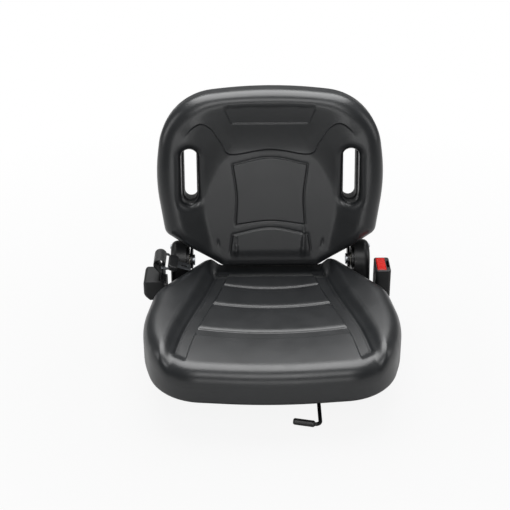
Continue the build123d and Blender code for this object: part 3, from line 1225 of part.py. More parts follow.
# Tongue: steel plate with a webbing slot and a latch window, gripped in a moulded block
# The bar of the tongue lies against the inside of the loop
DROOP = radians(TONGUE_DROOP)
BAR_TO_LOOP = LOOP_DIAMETER / 2 - WEBBING_THICKNESS - SLIDE_GAP - TONGUE_BAR / 2
TONGUE_PLANE = Plane(
    origin=(-TAIL_X + BAR_TO_LOOP * cos(DROOP), BELT_BRACKET_Y, LOOP_Z - BAR_TO_LOOP * sin(DROOP)),
    x_dir=(cos(DROOP), 0, -sin(DROOP)),
    z_dir=(sin(DROOP), 0, cos(DROOP)),
)
TONGUE_SHOULDER_AT = TONGUE_BAR / 2 + TONGUE_SLOT + TONGUE_SHOULDER
with BuildPart() as tongue_plate:
    with BuildSketch(TONGUE_PLANE.offset(-TONGUE_PLATE / 2)):
        with BuildLine():
            FilletPolyline(
                (-TONGUE_BAR / 2, -TONGUE_SPAN / 2),
                (TONGUE_BAR / 2 + TONGUE_SLOT, -TONGUE_SPAN / 2),
                (TONGUE_SHOULDER_AT, -TONGUE_TIP_WIDTH / 2),
                (TONGUE_TIP_AT, -TONGUE_TIP_WIDTH / 2),
                (TONGUE_TIP_AT, TONGUE_TIP_WIDTH / 2),
                (TONGUE_SHOULDER_AT, TONGUE_TIP_WIDTH / 2),
                (TONGUE_BAR / 2 + TONGUE_SLOT, TONGUE_SPAN / 2),
                (-TONGUE_BAR / 2, TONGUE_SPAN / 2),
                radius=TONGUE_BAR / 2.5,
                close=True,
            )
        make_face()
        with Locations((TONGUE_BAR / 2, 0)):
            Rectangle(
                TONGUE_SLOT, TONGUE_SLOT_SPAN, align=(Align.MIN, Align.CENTER), mode=Mode.SUBTRACT
            )
        with Locations(((TONGUE_GRIP_TO + TONGUE_TIP_AT) / 2, 0)):
            RectangleRounded(
                TONGUE_WINDOW_LENGTH, TONGUE_WINDOW, TONGUE_WINDOW_CORNER, mode=Mode.SUBTRACT
            )
    extrude(amount=TONGUE_PLATE)
save(tongue_plate, "tongue_plate")

TONGUE_GRIP_MIDDLE = (TONGUE_GRIP_FROM + TONGUE_GRIP_TO) / 2
with BuildPart() as tongue_grip:
    with BuildSketch(TONGUE_PLANE.offset(-TONGUE_GRIP_THICKNESS / 2)):
        with Locations((TONGUE_GRIP_MIDDLE, 0)):
            RectangleRounded(TONGUE_GRIP_TO - TONGUE_GRIP_FROM, TONGUE_GRIP_SPAN, TONGUE_GRIP_CORNER)
    extrude(amount=TONGUE_GRIP_THICKNESS)
    fillet(tongue_grip.edges().filter_by(TONGUE_PLANE), TONGUE_GRIP_EDGE)
    add(tongue_plate.part, mode=Mode.SUBTRACT)
save(tongue_grip, "tongue_grip")

# Buckle: strap on its anchor bolt, moulded housing, red release button
with BuildPart() as buckle_bolt:
    seat = across(LEFT, STRAP_X + STRAP_SHEET / 2 + SLIDE_GAP, BUCKLE_Y, BUCKLE_PIVOT_Z)
    length = STRAP_SHEET + 2 * SLIDE_GAP + BELT_SHEET + NUT_HEIGHT
    add(hex_bolt(seat, ANCHOR_DIAMETER, ANCHOR_FLATS, ANCHOR_HEAD, length))
save(buckle_bolt, "buckle_bolt")

with BuildPart() as buckle_nut:
    seat = across(LEFT, BUCKLE_RISER_X - BELT_SHEET - NUT_HEIGHT, BUCKLE_Y, BUCKLE_PIVOT_Z)
    add(hex_nut(seat, ANCHOR_DIAMETER, ANCHOR_FLATS, NUT_HEIGHT))
save(buckle_nut, "buckle_nut")

with BuildPart() as buckle_strap:
    with BuildSketch(across(LEFT, STRAP_X - STRAP_SHEET / 2, BUCKLE_Y, BUCKLE_PIVOT_Z)):
        Circle(STRAP_WIDTH / 2)
        Rectangle(
            STRAP_WIDTH,
            BUCKLE_FOOT + STRAP_DEPTH_IN_BUCKLE - BUCKLE_PIVOT_Z,
            align=(Align.CENTER, Align.MIN),
        )
        Circle(ANCHOR_DIAMETER / 2 + RUNNING_CLEARANCE, mode=Mode.SUBTRACT)
    extrude(amount=STRAP_SHEET)
save(buckle_strap, "buckle_strap")

BUCKLE_INNER = STRAP_X - BUCKLE_THICKNESS / 2
BUTTON_X = BUCKLE_INNER + BUTTON_WALL + SLIDE_GAP + BUTTON_WIDTH / 2
MOUTH_X = BUCKLE_INNER + BUCKLE_THICKNESS - MOUTH_WALL - MOUTH_GAP / 2
BUTTON_FOOT = BUCKLE_TOP + BUTTON_PROUD - BUTTON_HEIGHT
with BuildPart() as buckle_housing:
    with BuildSketch(across(LEFT, BUCKLE_INNER, BUCKLE_Y, (BUCKLE_FOOT + BUCKLE_TOP) / 2)):
        Rectangle(BUCKLE_LENGTH, BUCKLE_TOP - BUCKLE_FOOT)
    extrude(amount=BUCKLE_THICKNESS)
    fillet(buckle_housing.edges().filter_by(Axis.Z), BUCKLE_EDGE_RADIUS)
    fillet(buckle_housing.faces().sort_by(Axis.Z)[0].edges(), BUCKLE_EDGE_RADIUS * 0.8)
    fillet(buckle_housing.faces().sort_by(Axis.Z)[-1].edges(), BUCKLE_FACE_RADIUS)
    with BuildSketch(Plane.XY.offset(BUCKLE_TOP)):
        with Locations((BUTTON_X, BUCKLE_Y)):
            RectangleRounded(
                BUTTON_WIDTH + 2 * SLIDE_GAP, BUTTON_LENGTH + 2 * SLIDE_GAP, BUTTON_EDGE + SLIDE_GAP
            )
    extrude(
        amount=-(BUCKLE_TOP - BUTTON_FOOT + BUTTON_TRAVEL + BUTTON_POCKET_EXTRA), mode=Mode.SUBTRACT
    )
    with BuildSketch(Plane.XY.offset(BUCKLE_TOP)):
        with Locations((MOUTH_X, BUCKLE_Y)):
            Rectangle(MOUTH_GAP, MOUTH_SPAN)
    extrude(amount=-MOUTH_DEPTH, mode=Mode.SUBTRACT)
    add(buckle_strap.part, mode=Mode.SUBTRACT)
save(buckle_housing, "buckle_housing")

with BuildPart() as buckle_button:
    with BuildSketch(Plane.XY.offset(BUTTON_FOOT)):
        with Locations((BUTTON_X, BUCKLE_Y)):
            RectangleRounded(BUTTON_WIDTH, BUTTON_LENGTH, BUTTON_EDGE)
    extrude(amount=BUTTON_HEIGHT)
    chamfer(buckle_button.faces().sort_by(Axis.Z)[-1].edges(), BUTTON_EDGE)
save(buckle_button, "buckle_button")

# Slide release: bent rod that turns in two brackets under the cross members
GRIP_DIRECTION = Vector(-GRIP_REACH, GRIP_SWEEP_BACK, GRIP_RISE).normalized()
ROD_CORNER = Vector(ROD_X, ROD_FRONT, ROD_Z)
GRIP_ROOT = ROD_CORNER + GRIP_DIRECTION * GRIP_START
ROD_TIP = GRIP_ROOT + GRIP_DIRECTION * (GRIP_LENGTH - GRIP_WALL_AT_END)
with BuildPart() as release_rod:
    with BuildLine() as path:
        FilletPolyline((ROD_X, ROD_REAR, ROD_Z), ROD_CORNER, ROD_TIP, radius=ROD_BEND)
    with BuildSketch(Plane(origin=path.line @ 0, z_dir=path.line % 0)):
        Circle(ROD_DIAMETER / 2)
    sweep()
save(release_rod, "release_rod")

GRIP_PLANE = Plane(origin=GRIP_ROOT, z_dir=GRIP_DIRECTION)
with BuildPart() as release_grip:
    with BuildSketch(GRIP_PLANE):
        Circle(GRIP_DIAMETER / 2)
    extrude(amount=GRIP_LENGTH)
    fillet(release_grip.edges(), GRIP_DIAMETER / 3.2)
    with BuildSketch(GRIP_PLANE):
        Circle(ROD_DIAMETER / 2 + FIXED_CLEARANCE)
    extrude(amount=GRIP_LENGTH - GRIP_WALL_AT_END + FIXED_CLEARANCE, mode=Mode.SUBTRACT)
save(release_grip, "release_grip")

CLAW_END = RACK_INNER + RACK_NOTCH_DEPTH - CLAW_GAP
with BuildPart() as latch_claw:
    with BuildSketch(Plane.XZ):
        with Locations((ROD_X, ROD_Z)):
            Circle(CLAW_HUB_DIAMETER / 2)
        with Locations((ROD_X, CLAW_HEIGHT)):
            Rectangle(CLAW_END - ROD_X, CLAW_SHEET, align=(Align.MIN, Align.MIN))
        with Locations((ROD_X, ROD_Z)):
            Circle(ROD_DIAMETER / 2 + FIXED_CLEARANCE, mode=Mode.SUBTRACT)
    extrude(amount=CLAW_LENGTH / 2, both=True)
    with BuildSketch(Plane.XY.offset(CLAW_HEIGHT)):
        with Locations((CLAW_END - CLAW_FINGER / 2, 0)):
            with GridLocations(RACK_PITCH, RACK_PITCH, 1, 2):
                Rectangle(CLAW_FINGER, CLAW_FINGER)
    extrude(amount=RACK_HEIGHT - CLAW_GAP - CLAW_HEIGHT)
save(latch_claw, "latch_claw")

with BuildPart() as rod_brackets:
    for end in (-1, 1):
        y = end * CROSS_SPACING / 2
        with BuildSketch(Plane.XZ.offset(-y)):
            with Locations((ROD_X, UPPER_RAIL_TOP)):
                Rectangle(ROD_BRACKET_WIDTH, ROD_BRACKET_DROP, align=(Align.CENTER, Align.MAX))
            with Locations((ROD_X, ROD_Z)):
                Circle(ROD_DIAMETER / 2 + RUNNING_CLEARANCE, mode=Mode.SUBTRACT)
        extrude(amount=ROD_BRACKET_SHEET / 2, both=True)
        with BuildSketch(Plane.XY.offset(UPPER_RAIL_TOP)):
            with Locations((ROD_X, y)):
                Rectangle(ROD_BRACKET_WIDTH, ROD_BRACKET_FLANGE, align=(Align.CENTER, Align.MIN))
        extrude(amount=-ROD_BRACKET_SHEET)
save(rod_brackets, "rod_brackets")
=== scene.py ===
"""Tractor seat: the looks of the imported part, laid out as a Blender add-on."""
import json
import math

import bmesh
import bpy
import numpy as np
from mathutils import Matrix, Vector
from mathutils.geometry import delaunay_2d_cdt


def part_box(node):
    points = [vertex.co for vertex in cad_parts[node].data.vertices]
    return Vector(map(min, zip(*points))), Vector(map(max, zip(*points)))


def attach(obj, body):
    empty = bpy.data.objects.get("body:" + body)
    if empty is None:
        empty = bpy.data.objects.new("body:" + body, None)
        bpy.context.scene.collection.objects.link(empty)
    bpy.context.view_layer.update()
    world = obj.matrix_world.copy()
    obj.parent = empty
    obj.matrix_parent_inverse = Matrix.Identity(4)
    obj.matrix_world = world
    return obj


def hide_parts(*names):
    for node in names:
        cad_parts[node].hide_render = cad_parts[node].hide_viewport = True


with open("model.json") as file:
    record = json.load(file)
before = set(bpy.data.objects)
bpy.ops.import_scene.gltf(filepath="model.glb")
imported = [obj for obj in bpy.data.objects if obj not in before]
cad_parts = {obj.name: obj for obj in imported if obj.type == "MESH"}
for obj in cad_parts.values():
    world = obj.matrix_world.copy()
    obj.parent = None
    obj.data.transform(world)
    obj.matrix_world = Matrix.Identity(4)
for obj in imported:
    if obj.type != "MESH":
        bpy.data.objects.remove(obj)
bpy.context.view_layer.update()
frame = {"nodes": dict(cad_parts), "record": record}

bl_info = {
    "name": "Tractor seat",
    "version": (1, 0, 0),
    "blender": (4, 5, 0),
    "location": "View3D > Sidebar > Tractor seat",
    "description": "Moulded cushions, lap belt, finishes and studio for a garden tractor seat",
    "category": "Object",
}

MM = 0.001

# Spacing of a skin's points in millimetres: on its outline, on its moulded lines, in its open field,
# and beside each line, where the field keeps clear of it
OUTLINE_STEP = 3.2
LINE_STEP = 2.5
FIELD_STEP = 3.4
BESIDE_LINES = (-3.8, -2.6, -1.6, -0.6, 0.6, 1.6, 2.6, 3.8)
LINE_CLEAR = 4.8

# Seat cushion, in millimetres of the part's own frame: x across, y towards the back.
# A corner is its x, its y and the radius that rounds it.
SEAT_CORNERS = (
    (0.0, -266.0, 900.0),
    (206.0, -246.0, 108.0),
    (247.0, -105.0, 260.0),
    (229.0, 20.0, 80.0),
    (134.0, 146.0, 40.0),
)
# Foot of the bolsters, from the back of the seat to the front
BOLSTER_LINE = (
    (104.0, 150.0),
    (110.0, 88.0),
    (127.0, 14.0),
    (152.0, -69.0),
    (168.0, -130.0),
    (181.0, -210.0),
    (188.0, -262.0),
    (193.0, -310.0),
)
STRIP_WIDTH = 24.0
BAND_FRONTS = (33.0, -37.0, -125.0)
BAND_GAPS = (13.0, 14.0, 20.0)
BAND_BOW = 17.0
SEAT_FALL = (70.0, 112.0)
SEAT_SHELF_DROP = 12.8
SEAT_FOOT_RADIUS = 10.0
PAN_PLAY = 0.4

# Backrest, in millimetres on its own leaning plane: x across, v up it, w out of its front
BACK_LEAN = math.radians(12.0)
BACK_ORIGIN = (0.0, 170.0, 118.0)
BACK_CORNERS = (
    (95.0, 0.0, 25.0),
    (210.0, 77.0, 22.0),
    (227.0, 190.0, 350.0),
    (206.0, 347.0, 118.0),
    (0.0, 370.0, 900.0),
)
DISH_FLOOR = ((96.0, -40.0, 0.0), (136.0, 145.0, 120.0), (84.0, 240.0, 60.0))
DISH_RIM = ((150.0, -40.0, 0.0), (192.0, 160.0, 200.0), (140.0, 348.0, 70.0))
SLOT_CENTRE = (159.0, 192.0)
SLOT_SIZE = (32.0, 112.0)
SHELL_RIM = 12.0
SHELL_FLOOR = 3.5
SHELL_INNER = 5.3
FOOT_ROLL = 20.0
SHIELD = ((68.0, 92.0), (73.0, 213.0))
SHIELD_BOW = 14.0
SHIELD_FOOT_BOW = 8.0
SHIELD_WAIST = 5.0
LUMBAR = ((83.0, 12.0), (75.0, 69.0))
HEAD_PANEL = ((76.0, 299.0, 7.0), (90.0, 335.0, 7.0))
YOKE_LINE = (
    (-168.0, 272.0),
    (-152.0, 291.0),
    (-133.0, 300.0),
    (-113.0, 287.0),
    (-95.0, 258.0),
    (-76.5, 235.0),
)
YOKE_BOW = 10.0
YOKE_FADE = 38.0
YOKE_ENDS = 40.0
WING_ENDS = 10.0
WING_WIDTH = 2.2
PANEL_EDGE = 2.6
PANEL_GROOVE = 1.6
WING_LINE = ((106.0, 64.0), (101.0, 24.0))

# Lap belt, in millimetres: the strap runs up from its spool, round the tongue's bar and back, and is sewn
BELT_PLACE = (-219.6, 86.0)
BELT_WIDTH = 46.0
BELT_FROM = 112.0
BELT_MIDWAY = 128.0
BELT_SEWN = (136.5, 146.0)
LOOP_CENTRE = 167.0
LOOP_RADIUS = 11.4
STITCH_ROWS = (138.5, 141.5, 144.5)
STITCH_MARGIN = 4.0

PHOTO_WIDTH = 510
CAMERA_YAW = math.radians(-1.0)
CAMERA_RISE = math.radians(29.0)
CAMERA_AWAY = 2.2
CAMERA_TARGET = (0.0, 0.0, 0.25)
CAMERA_FOCUS = 1165.0
CAMERA_CENTRE = (271.5, 243.0)


def linear(code):
    """Linear colour of an sRGB hex value."""
    parts = [int(code[i : i + 2], 16) / 255 for i in (0, 2, 4)]
    return tuple(c / 12.92 if c <= 0.04045 else ((c + 0.055) / 1.055) ** 2.4 for c in parts)


def length_property(name, description, size):
    """A length of the seat, written in millimetres and kept in metres."""
    return bpy.props.FloatProperty(
        name=name, description=description, default=size * MM, min=0.0, unit="LENGTH", precision=4
    )


def colour_property(name, description, code):
    """A colour of the seat, written as an sRGB hex value and kept linear."""
    return bpy.props.FloatVectorProperty(
        name=name, description=description, default=linear(code), min=0.0, max=1.0, subtype="COLOR"
    )


class SeatSizes(bpy.types.PropertyGroup):
    """Sizes of the soft forms"""

    seat_floor: length_property("Seat floor", "Height of the sitting panel over the mounting plane", 132.0)
    bolster_rise: length_property("Bolster rise", "Rise of the side bolsters over the sitting panel", 14.0)
    bolster_slope: length_property("Bolster slope", "Width of the slope from panel to bolster", 26.0)
    seat_roll: length_property("Seat roll", "Radius of the rolled upper edge of the seat", 36.0)
    band_depth: length_property("Band depth", "Depth of the recess between two bands", 3.0)
    band_roll: length_property("Band roll", "Length of the rounding at the front of a band", 11.0)
    back_depth: length_property("Back depth", "Depth of the backrest at its rim", 85.0)
    dish_floor: length_property("Dish floor", "Depth of the backrest at its middle", 58.0)
    back_roll: length_property("Back roll", "Radius of the rolled edge of the backrest", 33.0)
    slot_roll: length_property("Slot roll", "Radius of the lip round each hand slot", 17.0)
    panel_step: length_property("Panel step", "Rise of the moulded panels", 3.0)
    grain: length_property("Grain", "Size of one cell of the vinyl grain", 2.2)
    webbing_thickness: length_property("Webbing", "Thickness of the belt webbing", 1.2)
    stitch_length: length_property("Stitch length", "Length of one stitch of the belt loop", 4.2)
    stitch_thread: length_property("Thread", "Diameter of the sewing thread", 0.9)


class SeatColours(bpy.types.PropertyGroup):
    """Colours of the finishes"""

    vinyl: colour_property("Vinyl", "Skin of both cushions", "1F2123")
    shell: colour_property("Shell", "Moulded shell of the backrest", "1B1C1D")
    plastic: colour_property("Plastic", "Hinge covers, retractor and buckle", "1F2021")
    rubber: colour_property("Grip", "Dipped grips of the levers", "2B2B2C")
    red: colour_property("Button", "Release button of the buckle", "D81F16")
    nylon: colour_property("Nylon", "Slide shoes and bushes", "D9D6CB")
    paint: colour_property("Paint", "Powder coat of the steelwork", "141516")
    zinc: colour_property("Zinc", "Plated fasteners and tongue", "B9BDC2")
    webbing: colour_property("Webbing", "Polyester lap belt", "17181A")
    thread: colour_property("Thread", "Sewing of the belt loop", "34363A")


def node(tree, kind, inputs=None, **settings):
    """Add a node. Settings are its own fields, and an input is given a value or linked to a socket."""
    made = tree.nodes.new(kind)
    for name, value in settings.items():
        setattr(made, name, value)
    for key, value in (inputs or {}).items():
        if isinstance(value, bpy.types.NodeSocket):
            tree.links.new(value, made.inputs[key])
        else:
            made.inputs[key].default_value = value
    return made


def blank_material(name):
    """A material with an empty node tree and its output node."""
    material = bpy.data.materials.new(name)
    material.use_nodes = True
    material.node_tree.nodes.clear()
    return material, material.node_tree, material.node_tree.nodes.new("ShaderNodeOutputMaterial")


def mottled(tree, where, size, low, high):
    """A slow noise with spots of the given size in metres, spread between two values."""
    noise = node(tree, "ShaderNodeTexNoise", {"Vector": where, "Scale": 1 / size, "Detail": 3.0})
    return node(
        tree,
        "ShaderNodeMapRange",
        {"Value": noise.outputs["Fac"], "From Min": 0.3, "From Max": 0.7, "To Min": low, "To Max": high},
    ).outputs["Result"]


def shaded(tree, colour, factor):
    """A colour scaled in brightness by a factor socket."""
    rgb = node(tree, "ShaderNodeHueSaturation", {"Color": (*colour, 1.0), "Value": factor})
    return rgb.outputs["Color"]


def moulded_vinyl(colours, sizes):
    """Self-skinned PU foam cast in a grained mould: black, satin, with a pebbled leather grain.

    The real grain is about 1.2 mm, and it is drawn coarser so that it shows in the render."""
    material, tree, out = blank_material("moulded_vinyl_grained")
    where = node(tree, "ShaderNodeTexCoord").outputs["Object"]
    cells = node(
        tree,
        "ShaderNodeTexVoronoi",
        {"Vector": where, "Scale": 1 / sizes.grain, "Randomness": 0.9},
        feature="SMOOTH_F1",
    )
    creases = node(
        tree, "ShaderNodeTexNoise", {"Vector": where, "Scale": 1 / (5 * sizes.grain), "Detail": 4.0}
    )
    height = node(
        tree, "ShaderNodeMath", {0: cells.outputs["Distance"], 1: creases.outputs["Fac"]}, operation="ADD"
    )
    bump = node(
        tree, "ShaderNodeBump", {"Height": height.outputs[0], "Strength": 0.22, "Distance": 0.25 * MM}
    )
    shader = node(
        tree,
        "ShaderNodeBsdfPrincipled",
        {
            "Base Color": shaded(tree, colours.vinyl, mottled(tree, where, 0.06, 0.92, 1.08)),
            "Roughness": mottled(tree, where, 0.03, 0.32, 0.4),
            "IOR": 1.52,
            "Coat Weight": 0.5,
            "Coat Roughness": 0.3,
            "Normal": bump.outputs["Normal"],
        },
    )
    tree.links.new(shader.outputs[0], out.inputs["Surface"])
    return material


def textured_plastic(name, colour, roughness, texture, depth):
    """Injection-moulded plastic from a spark-eroded mould: satin, with a fine even texture."""
    material, tree, out = blank_material(name)
    where = node(tree, "ShaderNodeTexCoord").outputs["Object"]
    speckle = node(tree, "ShaderNodeTexNoise", {"Vector": where, "Scale": 1 / texture, "Detail": 2.0})
    bump = node(
        tree, "ShaderNodeBump", {"Height": speckle.outputs["Fac"], "Strength": 0.3, "Distance": depth}
    )
    shader = node(
        tree,
        "ShaderNodeBsdfPrincipled",
        {
            "Base Color": shaded(tree, colour, mottled(tree, where, 0.03, 0.9, 1.1)),
            "Roughness": mottled(tree, where, 0.012, roughness - 0.04, roughness + 0.04),
            "IOR": 1.5,
            "Normal": bump.outputs["Normal"],
        },
    )
    tree.links.new(shader.outputs[0], out.inputs["Surface"])
    return material


def powder_coat(colours):
    """Black powder coat on pressed steel: half gloss, with the soft ripple called orange peel."""
    material, tree, out = blank_material("steel_powder_coated_black")
    where = node(tree, "ShaderNodeTexCoord").outputs["Object"]
    peel = node(tree, "ShaderNodeTexNoise", {"Vector": where, "Scale": 1 / (2.5 * MM), "Detail": 1.0})
    bump = node(
        tree, "ShaderNodeBump", {"Height": peel.outputs["Fac"], "Strength": 0.15, "Distance": 0.2 * MM}
    )
    shader = node(
        tree,
        "ShaderNodeBsdfPrincipled",
        {
            "Base Color": shaded(tree, colours.paint, mottled(tree, where, 0.04, 0.85, 1.15)),
            "Roughness": mottled(tree, where, 0.02, 0.3, 0.4),
            "IOR": 1.5,
            "Normal": bump.outputs["Normal"],
        },
    )
    tree.links.new(shader.outputs[0], out.inputs["Surface"])
    return material


def zinc_plate(colours):
    """Bright zinc plate on steel: grey metal with a soft, slightly cloudy sheen and fine drawing marks."""
    material, tree, out = blank_material("steel_zinc_plated")
    where = node(tree, "ShaderNodeTexCoord").outputs["Object"]
    along = node(tree, "ShaderNodeMapping", {"Vector": where, "Scale": (1.0, 1.0, 0.12)})
    marks = node(
        tree,
        "ShaderNodeTexNoise",
        {"Vector": along.outputs["Vector"], "Scale": 1 / (0.8 * MM), "Detail": 2.0},
    )
    bump = node(
        tree, "ShaderNodeBump", {"Height": marks.outputs["Fac"], "Strength": 0.12, "Distance": 0.1 * MM}
    )
    shader = node(
        tree,
        "ShaderNodeBsdfPrincipled",
        {
            "Base Color": shaded(tree, colours.zinc, mottled(tree, where, 0.006, 0.86, 1.06)),
            "Metallic": 1.0,
            "Roughness": mottled(tree, where, 0.004, 0.26, 0.4),
            "Normal": bump.outputs["Normal"],
        },
    )
    tree.links.new(shader.outputs[0], out.inputs["Surface"])
    return material


def woven_webbing(name, colours, rolled_up):
    """Polyester seat-belt webbing: black twill ribs along the strap, with a dull nylon-like sheen.

    The weave reads the strap's own UV map, in metres across and along, or the place in the roll on the
    spool. Real picks are about 0.6 mm apart, and they are drawn at 1.5 mm so that they show in the render."""
    material, tree, out = blank_material(name)
    pick = 1.5 * MM
    uv = node(tree, "ShaderNodeUVMap", uv_map="UVMap").outputs["UV"]
    if rolled_up:
        uv = node(tree, "ShaderNodeTexCoord").outputs["Object"]
    across = "Y" if rolled_up else "X"
    ribs = node(tree, "ShaderNodeTexWave", {"Vector": uv, "Scale": 0.314 / pick}, bands_direction=across)
    picks = node(
        tree,
        "ShaderNodeTexWave",
        {"Vector": uv, "Scale": 0.314 / (2 * pick), "Distortion": 0.4, "Detail": 1.0},
        bands_direction="DIAGONAL",
    )
    weave = node(tree, "ShaderNodeMath", {0: ribs.outputs["Fac"], 1: picks.outputs["Fac"]}, operation="ADD")
    bump = node(
        tree, "ShaderNodeBump", {"Height": weave.outputs[0], "Strength": 0.5, "Distance": 0.3 * MM}
    )
    # Base colour lighter on the raised ribs and darker in the low places between them: painted highlight and
    # painted shade of the weave, laid over its bump
    light = node(
        tree,
        "ShaderNodeMapRange",
        {"Value": weave.outputs[0], "From Min": 0.0, "From Max": 2.0, "To Min": 0.7, "To Max": 1.25},
    )
    shader = node(
        tree,
        "ShaderNodeBsdfPrincipled",
        {
            "Base Color": shaded(tree, colours.webbing, light.outputs["Result"]),
            "Roughness": mottled(tree, uv, 0.02, 0.5, 0.62),
            "IOR": 1.55,
            "Sheen Weight": 0.25,
            "Sheen Roughness": 0.4,
            "Normal": bump.outputs["Normal"],
        },
    )
    tree.links.new(shader.outputs[0], out.inputs["Surface"])
    return material


def sewing_thread(colours):
    """Bonded polyester thread: dark, a little shiny, with the twist of its plies across each stitch."""
    material, tree, out = blank_material("polyester_thread_twisted")
    where = node(tree, "ShaderNodeTexCoord").outputs["Object"]
    plies = node(
        tree, "ShaderNodeTexWave", {"Vector": where, "Scale": 0.314 / (0.6 * MM)}, bands_direction="DIAGONAL"
    )
    bump = node(
        tree, "ShaderNodeBump", {"Height": plies.outputs["Fac"], "Strength": 0.5, "Distance": 0.1 * MM}
    )
    shader = node(
        tree,
        "ShaderNodeBsdfPrincipled",
        {
            "Base Color": shaded(tree, colours.thread, mottled(tree, where, 0.002, 0.85, 1.15)),
            "Roughness": 0.45,
            "IOR": 1.55,
            "Normal": bump.outputs["Normal"],
        },
    )
    tree.links.new(shader.outputs[0], out.inputs["Surface"])
    return material


def stitch_tree():
    """Geometry Nodes tree that lays a stitch at every step along rows drawn as edges."""
    tree = bpy.data.node_groups.new("Stitch rows", "GeometryNodeTree")
    sockets = (
        ("Rows", "INPUT", "NodeSocketGeometry"),
        ("Stitch length", "INPUT", "NodeSocketFloat"),
        ("Thread", "INPUT", "NodeSocketFloat"),
        ("Material", "INPUT", "NodeSocketMaterial"),
        ("Stitches", "OUTPUT", "NodeSocketGeometry"),
    )
    for name, way, kind in sockets:
        tree.interface.new_socket(name, in_out=way, socket_type=kind)
    given = node(tree, "NodeGroupInput").outputs
    rows = node(tree, "GeometryNodeMeshToCurve", {"Mesh": given["Rows"]})
    spots = node(
        tree,
        "GeometryNodeResampleCurve",
        {"Curve": rows.outputs["Curve"], "Length": given["Stitch length"]},
        mode="LENGTH",
    )
    along = node(tree, "GeometryNodeInputTangent")
    turn = node(tree, "FunctionNodeAlignRotationToVector", {"Vector": along.outputs["Tangent"]}, axis="X")
    reach = node(tree, "ShaderNodeMath", {0: given["Stitch length"], 1: 0.8}, operation="MULTIPLY")
    size = node(
        tree, "ShaderNodeCombineXYZ", {"X": reach.outputs[0], "Y": given["Thread"], "Z": given["Thread"]}
    )
    bead = node(tree, "GeometryNodeMeshUVSphere", {"Segments": 10, "Rings": 6, "Radius": 0.5})
    laid = node(
        tree,
        "GeometryNodeInstanceOnPoints",
        {
            "Points": spots.outputs["Curve"],
            "Instance": bead.outputs["Mesh"],
            "Rotation": turn.outputs["Rotation"],
            "Scale": size.outputs["Vector"],
        },
    )
    real = node(tree, "GeometryNodeRealizeInstances", {"Geometry": laid.outputs["Instances"]})
    painted = node(
        tree, "GeometryNodeSetMaterial", {"Geometry": real.outputs["Geometry"], "Material": given["Material"]}
    )
    node(tree, "NodeGroupOutput", {"Stitches": painted.outputs["Geometry"]})
    return tree


def finish_node(name, material):
    """Give a piece that comes from the part's source a material."""
    mesh = frame["nodes"][name].data
    mesh.materials.clear()
    mesh.materials.append(material)


def resample(line, step, closed):
    """The same line with its points an even step apart."""
    points = np.vstack([line, line[:1]]) if closed else np.asarray(line, float)
    reach = np.concatenate(([0.0], np.cumsum(np.hypot(*np.diff(points, axis=0).T))))
    count = max(3, round(reach[-1] / step))
    at = np.linspace(0.0, reach[-1], count, endpoint=not closed)
    return np.stack([np.interp(at, reach, points[:, 0]), np.interp(at, reach, points[:, 1])], axis=1)


def rounded(corners, step):
    """A closed outline through corners of x, y and radius, as points an even step apart."""
    places = [np.array(corner[:2]) for corner in corners]
    line = []
    for i, (here, (_, _, radius)) in enumerate(zip(places, corners)):
        back = places[i - 1] - here
        on = places[(i + 1) % len(places)] - here
        back, on = back / np.hypot(*back), on / np.hypot(*on)
        half = math.acos(np.clip(back @ on, -1.0, 1.0)) / 2
        middle = (back + on) / max(np.hypot(*(back + on)), 1e-9)
        centre = here + middle * radius / math.sin(half)
        start, end = here + back * radius / math.tan(half), here + on * radius / math.tan(half)
        count = max(2, math.ceil(radius * (math.pi - 2 * half) / step))
        for share in np.linspace(0.0, 1.0, count + 1):
            spoke = (1 - share) * (start - centre) + share * (end - centre)
            line.append(centre + spoke / max(np.hypot(*spoke), 1e-9) * radius)
    return resample(np.array(line), step, True)


def both_sides(corners):
    """Corners of the right half, then the same ones mirrored to the left."""
    return list(corners) + [(-x, y, *rest) for x, y, *rest in reversed(corners) if x > 0]


def curve(points, step):
    """A smooth open curve through a few points, as points an even step apart."""
    points = np.asarray(points, float)
    ends = np.vstack([2 * points[0] - points[1], points, 2 * points[-1] - points[-2]])
    t = np.linspace(0.0, 1.0, 16, endpoint=False)[:, None]
    line = [
        0.5
        * (
            2 * b
            + (c - a) * t
            + (2 * a - 5 * b + 4 * c - d) * t**2
            + (3 * b - a - 3 * c + d) * t**3
        )
        for a, b, c, d in zip(ends, ends[1:], ends[2:], ends[3:])
    ]
    return resample(np.vstack(line + [points[-1:]]), step, False)


def shifted(line, distance, closed):
    """A line moved sideways, to the left of its own direction."""
    if closed:
        along = np.roll(line, -1, axis=0) - np.roll(line, 1, axis=0)
    else:
        along = np.gradient(line, axis=0)
    along = along / np.hypot(*along.T)[:, None]
    return line + distance * np.stack([-along[:, 1], along[:, 0]], axis=1)


def to_line(points, line, closed):
    """Distance of points from a line, plus on its left, and how far along the line each one lies."""
    starts, ends = (line, np.roll(line, -1, axis=0)) if closed else (line[:-1], line[1:])
    along = ends - starts
    length = np.hypot(*along.T)
    before = np.concatenate(([0.0], np.cumsum(length)[:-1]))
    distance, place = np.empty(len(points)), np.empty(len(points))
    for some in np.array_split(np.arange(len(points)), len(points) // 2000 + 1):
        away = points[some, None] - starts[None]
        share = np.clip((away * along).sum(axis=2) / length**2, 0.0, 1.0)
        gap = away - share[..., None] * along
        reach = np.hypot(gap[..., 0], gap[..., 1])
        near = (np.arange(len(some)), reach.argmin(axis=1))
        turn = along[near[1], 0] * away[near][:, 1] - along[near[1], 1] * away[near][:, 0]
        distance[some] = reach[near] * np.sign(turn)
        place[some] = before[near[1]] + share[near] * length[near[1]]
    return distance, place


def ease(share):
    """A share from 0 to 1 with a soft start and end."""
    share = np.clip(share, 0.0, 1.0)
    return share * share * (3 - 2 * share)


def rise(distance, width):
    """0 before a line and 1 past it, over a width centred on it."""
    return ease(distance / width + 0.5)


